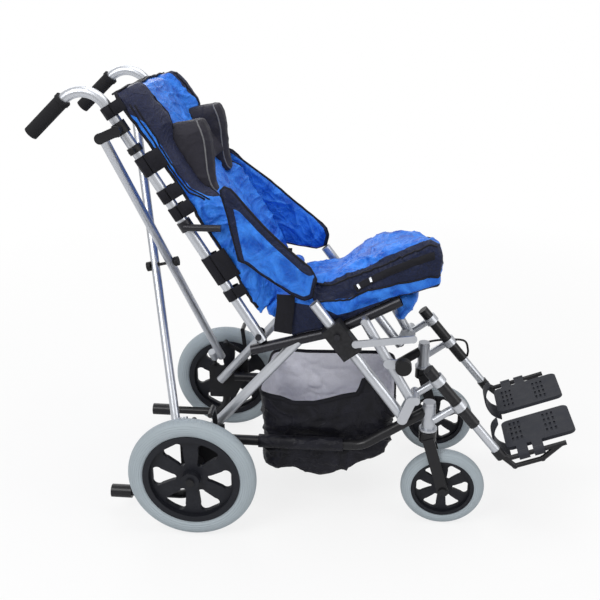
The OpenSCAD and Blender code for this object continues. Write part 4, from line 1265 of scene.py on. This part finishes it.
class STROLLER_OT_seat(bpy.types.Operator):
    """Sews the deep seat cushion with its black side panels"""

    bl_idname = "stroller.seat"
    bl_label = "Seat cushion"

    def execute(self, context):
        top, low = seat_grid(seat_top), seat_grid(seat_low)
        obj = closed_form("seat_cover", top, low, "Blue nylon and black")

        def above_base(co):
            x, _, z = from_scene(co)
            return z - seat_base(x)

        swell(obj, "seat", lambda co: above_base(co) < 4)

        def folds(co):
            x, y, z = from_scene(co)
            return Vector((x / 44, y / 80, z / 52))

        def slack(co):
            side = 0.7 * rise(abs(from_scene(co)[1]), 160, 178)
            return smooth(above_base(co) / 20) * (1 - side)

        def panel(co):
            x, y, z = from_scene(co)
            high, low = along(SEAT_PANEL_TOP, x) - z, z - along(SEAT_PANEL_LOW, x)
            edge = along(SEAT_BLUE_LOW, x) if y < 0 else seat_base(x) + 8
            return max(min(abs(y) - PANEL_Y, high, low, x - PANEL_X), edge - z)

        crumple(obj, cloth().crease * CREASED["seat"], folds, slack)
        mark_panel(obj, panel)
        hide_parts("seat_cushion")
        surface = surface_of(obj)
        settle(obj, "left_frame", folds="seat")
        parts = []
        for side, table in ((1, SEAT_PANEL_LOW), (-1, SEAT_PANEL_TOP), (-1, SEAT_PANEL_LOW)):
            line = [at(x, side * (SEAT_HALF + 4), along(table, x)) for x in range(290, 574, 7)]
            parts.append(cord(surface, line, cloth().piping * 0.6))
        settle(joined("seat_piping", parts), "left_frame", folds="seat")
        parts = []
        for side in SIDES.values():
            line = path_through([at(x, side * (SEAT_HALF + 6), z) for x, z in LAP_STRAP], 6)
            places, normals = laid(surface, line, 0.8 * MM)
            shape = strap_shape(17 * MM, 2 * MM)
            parts.append(sweep("strap", places, shape, "Webbing", normals))
            for k in (3, 9):
                forward = (places[k + 1] - places[k - 1]).normalized()
                out = normals[k]
                spin = Matrix((forward, out.cross(forward), out)).transposed().to_4x4()
                spin.translation = places[k] + out * 2.4 * MM
                parts.append(block(SLIDER, spin, "Bright cast metal", 0.8))
        settle(joined("lap_straps", parts), "left_frame", folds="seat")
        for name, table, reach in (("seat_apron", APRON, 150), ("seat_join", JOIN, 180)):
            roll = across_roll(name, table, reach)
            swell(roll, "roll")
            crumple(roll, cloth().crease * CREASED["roll"], folds)
            mark_panel(roll, lambda co: OUTSIDE)
            settle(roll, "left_frame", folds="seat")
        return {"FINISHED"}


# Basket: its rim rises by the tables RIM_NEAR and RIM_FAR, its floor follows FLOOR_LINE


BASKET_X = (146, 486)
BASKET_RIM = 300
BASKET_LOW = 108
BASKET_HALF = 159.2
BASKET_AROUND = 180
SQUARE = 8
PLEATS = 9
PLEAT_DEPTH = 5
TUCK = 9
TAPER = 4
WAIST = 0.06
WAIST_HIGH = 22
LOWER_RAIL_Y = 172
LOWER_RAIL_Z = 207
RIM_NEAR = [
    (140, 22), (166, 26), (204, 22), (235, 10), (287, 12), (321, 22), (355, 34),
    (396, 44), (404, 78), (411, 88), (422, 77), (457, 29), (470, -10), (490, -40),
]
RIM_FAR = [(140, 6), (240, 0), (380, 4), (490, 8)]
FLOOR_LINE = [
    (141, 113), (241, 121), (274, 108), (302, 102), (323, 107), (376, 131), (428, 158), (490, 186),
]


def basket_point(s, a):
    """A place on the basket's wall: s down from the rim, a the angle round it."""
    corner = abs(math.cos(a)) ** SQUARE + abs(math.sin(a)) ** SQUARE
    q = corner ** (-1 / SQUARE)
    pleat = PLEAT_DEPTH * s * (1 - s) * 4 * (0.5 + 0.5 * math.sin(a * PLEATS))
    drape = pleat + TUCK * s**8
    half = (BASKET_X[1] - BASKET_X[0]) / 2
    x = BASKET_X[0] + half + (half - drape - TAPER * s) * q * math.cos(a)
    y = (BASKET_HALF - drape) * q * math.sin(a)
    z = BASKET_RIM + (along(FLOOR_LINE, x) - BASKET_RIM) * s
    y *= 1 - WAIST * math.exp(-(((z - LOWER_RAIL_Z) / WAIST_HIGH) ** 2))
    near = smooth(0.5 - y / 60)
    lift = along(RIM_NEAR, x) * near + along(RIM_FAR, x) * (1 - near)
    return at(x, y, z + lift * (1 - s) ** 2)


def basket_ring(s):
    turns = [ROUND * i / BASKET_AROUND for i in range(BASKET_AROUND)]
    return [basket_point(s, a) for a in turns]


class STROLLER_OT_basket(bpy.types.Operator):
    """Makes the hanging basket with its pale lining, hem and rail sleeves"""

    bl_idname = "stroller.basket"
    bl_label = "Basket"

    def execute(self, context):
        around, down, rings = BASKET_AROUND, 34, 10
        verts = [p for k in range(down + 1) for p in basket_ring(k / down)]
        centre = at(BASKET_X[0] + 153, 0, BASKET_LOW - 4)
        low_ring = verts[-around:]
        for k in range(1, rings):
            verts += [p.lerp(centre, k / rings) for p in low_ring]
        verts.append(centre)
        total = down + rings - 1
        faces = []
        for k in range(total + 1):
            for i in range(around):
                a, b = k * around + i, k * around + (i + 1) % around
                if k < total:
                    faces.append((a, b, b + around, a + around))
                else:
                    faces.append((a, b, len(verts) - 1))
        bag = new_piece("basket_bag", verts, faces, "Black nylon")
        face_outwards(bag)

        def folds(co):
            x, y, z = from_scene(co)
            return Vector((x / 60, y / 60, z / 40))

        def slack(co):
            z = from_scene(co)[2]
            return rise(z, BASKET_RIM, BASKET_RIM - 40) * rise(z, BASKET_LOW - 12, BASKET_LOW + 18)

        crumple(bag, 0.008, folds, slack)
        bag.data.materials.append(MATERIALS["Basket lining"])
        apply_modifier(bag, "SOLIDIFY", thickness=0.0016, offset=-1, material_offset=1)
        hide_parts("basket")
        settle(bag, "left_frame", folds="bag")
        ups = [Vector((0, 0, 1))] * around
        shape = strap_shape(5.5 * MM, 12 * MM)
        hem = sweep("basket_hem", basket_ring(0), shape, "Webbing", ups, closed=True)
        settle(hem, "left_frame", folds="bag")
        shape = round_shape(33.4 * MM, 28)
        for word, side in SIDES.items():
            line = [at(x, side * LOWER_RAIL_Y, LOWER_RAIL_Z) for x in range(150, 361, 10)]
            tube = sweep(f"basket_sleeve_{word}", line, shape, "Black nylon", caps=False)
            apply_modifier(tube, "SOLIDIFY", thickness=0.0012, offset=-1)
            settle(tube, f"{word}_frame")
        return {"FINISHED"}


# Straps and small parts


# Height up the back tube and width of each loop
LOOPS = [(609, 28), (470, 46), (392, 32), (346, 32), (190, 72), (120, 28)]
LOOP_THICK = 2.4
LOOP_RADIUS = 14.6
FLAP_RADIUS = 17.2
FLAP_START = {1: 200, -1: 60}
SIDE_STRAP = [(222, 188, 606), (221, 192, 575), (217, 194, 545), (215, 193, 520), (214, 190, 512)]
SIDE_STRAP_BACK = {1: 44, -1: 0}
HEEL_CUP = [(779, 166), (752, 178), (733, 206), (731, 234), (740, 254)]
HANGER_WIRE = [(573, 332), (608, 340), (671, 342), (686, 316), (685, 294)]


def round_tube(side, u, turn, steps, radius):
    """Places and normals round a back tube, by (start, sweep) in degrees; radius takes k."""
    start, swing = turn
    places, normals = [], []
    for k in range(steps + 1):
        a = math.radians(start + swing * k / steps)
        n, y = radius(k) * math.cos(a), radius(k) * math.sin(a)
        places.append(on_back(n, side * TUBE_Y + y, u))
        normals.append(back_way(math.cos(a), math.sin(a)))
    return places, normals


class STROLLER_OT_straps(bpy.types.Operator):
    """Wraps the webbing loops round the back tubes"""

    bl_idname = "stroller.straps"
    bl_label = "Straps"

    def execute(self, context):
        out = back_way(0, 1)
        for word, side in SIDES.items():
            parts = []
            for index, (u, width) in enumerate(LOOPS):
                points, normals = round_tube(
                    side, u, (28, 304), 40,
                    lambda k: LOOP_RADIUS + 0.5 * math.sin(k * 0.9 + index),
                )
                reach = 44 + 5 * math.sin(index * 2.3 + side)
                outer = [(reach, 188.8), (reach - 12, 190.0), (24, 191.6), (12, 192.0)]
                inner = [(8, 164.6), (16, 166.5), (23.2, 170)]
                ends = (outer, inner) if side > 0 else (inner[::-1], outer[::-1])
                first, last = ([on_back(n, side * y, u) for n, y in end] for end in ends)
                points = first + points[2:-2] + last
                normals = [out] * len(first) + normals[2:-2] + [-out] * len(last)
                shape = strap_shape(width * MM, LOOP_THICK * MM)
                parts.append(sweep("loop", points, shape, "Webbing", normals))
                points, normals = round_tube(
                    side, u - 1, (FLAP_START[side], 100), 12,
                    lambda k: FLAP_RADIUS + 0.4 * math.sin(k * 0.7 + index * 2),
                )
                shape = strap_shape((width - 5) * MM, 2.0 * MM)
                parts.append(sweep("flap", points, shape, "Webbing", normals))
            obj = joined(f"back_loops_{word}", parts)
            if side > 0:
                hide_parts("back_straps")
            settle(obj, f"cane_{word}")
        return {"FINISHED"}


class STROLLER_OT_side_straps(bpy.types.Operator):
    """Hangs the wide strap between each wing and the seat rail"""

    bl_idname = "stroller.side_straps"
    bl_label = "Side straps"

    def execute(self, context):
        shape = strap_shape(42 * MM, 2.4 * MM)
        for word, side in SIDES.items():
            back = SIDE_STRAP_BACK[side]
            places = [at(x - back, side * y, z - back * 0.28) for x, y, z in SIDE_STRAP]
            line = path_through(places, 6)
            out = [Vector((0, side, 0))] * len(line)
            strap = sweep(f"side_strap_{word}", line, shape, "Webbing", out)
            crumple(strap, 0.0012, lambda co: co * 30)
            settle(strap, f"{word}_frame")
        return {"FINISHED"}


class STROLLER_OT_foot_parts(bpy.types.Operator):
    """Shapes the heel cups of the footplates and the wire loop on the left hanger"""

    bl_idname = "stroller.foot_parts"
    bl_label = "Heel cups"

    def execute(self, context):
        section = [(out, across) for across, out in strap_shape(72 * MM, 5 * MM)]
        for word, side in SIDES.items():
            line = path_through([at(x, side * 100, z) for x, z in HEEL_CUP], 8)
            last = len(line) - 1
            sizes = [1 - 0.45 * rise(k / last, 0.5, 1) for k in range(last + 1)]
            flat = [Vector((0, 1, 0))] * len(line)
            name = f"heel_cup_{word}"
            cup = sweep(name, line, section, "Footplate plastic", flat, scale=sizes)
            apply_modifier(cup, "SUBSURF", levels=1, render_levels=1)
            settle(cup, f"plate_{word}")
            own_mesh(cup)
        line = path_through([at(x, 184, z) for x, z in HANGER_WIRE], 8)
        wire = sweep("hanger_wire", line, round_shape(6 * MM, 12), "Black metal")
        settle(wire, "left_frame")
        return {"FINISHED"}


# Stage


FLOOR_HALF = 90.0
FLOOR_NEAR_GLOW = 0.80
GLOW_START, GLOW_END = 0.9, 2.6
GLOSSY_SHARE = 0.5
WORLD_LIGHT = 0.42
# Place, share of the lamp power, and breadth of each lamp
LAMPS = {
    "key_lamp": ((-1.6, -2.2, 2.6), 1, 1.6),
    "top_lamp": ((0.3, 0.2, 3.2), 0.75, 2.4),
    "front_lamp": ((2.6, -1.2, 1.5), 0.45, 1.8),
    "rear_lamp": ((-1.4, 2.4, 2.0), 0.4, 1.8),
}
AIM = Vector((0.0, 0.0, 0.5))
CAMERA_PLACE = (430.5, -2068.6, 1352.2)
CAMERA_TURN = math.radians(-5.345)
CAMERA_DROP = math.radians(21.86)
SENSOR = 36


def floor_material():
    """Pale and rough; the camera sees it glow, and fade to white far away."""
    tree, shader = new_material("Floor")
    colour = blend_colour(tree, cloud(tree, 3.0, 2.0), (0.80, 0.80, 0.80), (0.84, 0.84, 0.84))
    tree.links.new(colour, shader.inputs["Base Color"])
    shader.inputs["Roughness"].default_value = 0.9
    glow = add(tree, "Emission", {"Color": (1, 1, 1, 1), "Strength": 1.0})
    place = add(tree, "TexCoord").outputs["Object"]
    away = add(tree, "VectorMath", {0: place}, operation="LENGTH").outputs["Value"]
    share = spread(tree, away, GLOW_START, GLOW_END, FLOOR_NEAR_GLOW, 1.0)
    seen = times(tree, add(tree, "LightPath").outputs["Is Camera Ray"], share)
    mix = add(tree, "MixShader", {0: seen, 1: shader.outputs[0], 2: glow.outputs[0]})
    tree.links.new(mix.outputs[0], tree.nodes["Material Output"].inputs["Surface"])


def aimed(name, data, place, look):
    """A lamp or camera at a place, looking along a direction."""
    obj = bpy.data.objects.new(name, data)
    obj.location = place
    obj.rotation_euler = look.to_track_quat("-Z", "Y").to_euler()
    bpy.context.scene.collection.objects.link(obj)
    return obj


class STROLLER_OT_stage(bpy.types.Operator):
    """Sets the pale floor, the lamps and the camera"""

    bl_idname = "stroller.stage"
    bl_label = "Stage"

    def execute(self, context):
        scene = context.scene
        stage = scene.stroller_stage
        scene.view_settings.view_transform = "Standard"
        floor_material()
        r = FLOOR_HALF
        corners = [(-r, -r, 0), (r, -r, 0), (r, r, 0), (-r, r, 0)]
        floor = new_piece("floor", corners, [(0, 1, 2, 3)], "Floor")
        scene.world = bpy.data.worlds.new("Studio")
        scene.world.use_nodes = True
        tree = scene.world.node_tree
        back = tree.nodes["Background"]
        back.inputs["Color"].default_value = (1, 1, 1, 1)
        ray = add(tree, "LightPath").outputs
        glossy = times(tree, ray["Is Glossy Ray"], GLOSSY_SHARE)
        seen = calc(tree, "MAXIMUM", ray["Is Camera Ray"], glossy)
        light = spread(tree, seen, 0.0, 1.0, WORLD_LIGHT, 1.0)
        tree.links.new(light, back.inputs["Strength"])
        for name, (place, share, breadth) in LAMPS.items():
            light = bpy.data.lights.new(name, "AREA")
            light.energy = stage.lamp * share
            light.size = breadth
            aimed(name, light, place, AIM - Vector(place))
        data = bpy.data.cameras.new("camera")
        data.lens = stage.lens
        data.sensor_width = SENSOR
        flat = math.cos(CAMERA_DROP)
        look = (math.sin(CAMERA_TURN) * flat, math.cos(CAMERA_TURN) * flat, -math.sin(CAMERA_DROP))
        scene.camera = aimed("camera", data, at(*CAMERA_PLACE), Vector(look))
        return {"FINISHED"}


class STROLLER_PT_panel(bpy.types.Panel):
    """Builds the stroller's pieces and holds their settings"""

    bl_label = "Special Needs Stroller"
    bl_idname = "STROLLER_PT_panel"
    bl_space_type = "VIEW_3D"
    bl_region_type = "UI"
    bl_category = "Stroller"

    def draw(self, context):
        layout = self.layout
        scene = context.scene
        for holder in (scene.stroller_cloth, scene.stroller_frame, scene.stroller_stage):
            box = layout.box()
            for key in holder.bl_rna.properties.keys():
                if key not in ("rna_type", "name"):
                    box.prop(holder, key)
        for operator in OPERATORS:
            layout.operator(operator.bl_idname)


OPERATORS = [
    STROLLER_OT_finishes,
    STROLLER_OT_backrest,
    STROLLER_OT_wings,
    STROLLER_OT_head_support,
    STROLLER_OT_seat,
    STROLLER_OT_basket,
    STROLLER_OT_straps,
    STROLLER_OT_side_straps,
    STROLLER_OT_foot_parts,
    STROLLER_OT_stage,
]
CLASSES = [StrollerCloth, StrollerFrame, StrollerStage, *OPERATORS, STROLLER_PT_panel]


def register():
    for item in CLASSES:
        bpy.utils.register_class(item)
    bpy.types.Scene.stroller_cloth = PointerProperty(type=StrollerCloth)
    bpy.types.Scene.stroller_frame = PointerProperty(type=StrollerFrame)
    bpy.types.Scene.stroller_stage = PointerProperty(type=StrollerStage)


def unregister():
    for name in ("stroller_cloth", "stroller_frame", "stroller_stage"):
        delattr(bpy.types.Scene, name)
    for item in reversed(CLASSES):
        bpy.utils.unregister_class(item)


def main():
    register()
    for operator in OPERATORS:
        name = operator.bl_idname.split(".")[1]
        if getattr(bpy.ops.stroller, name)() != {"FINISHED"}:
            raise RuntimeError(f"stroller.{name} did not finish")


if __name__ == "__main__":
    main()
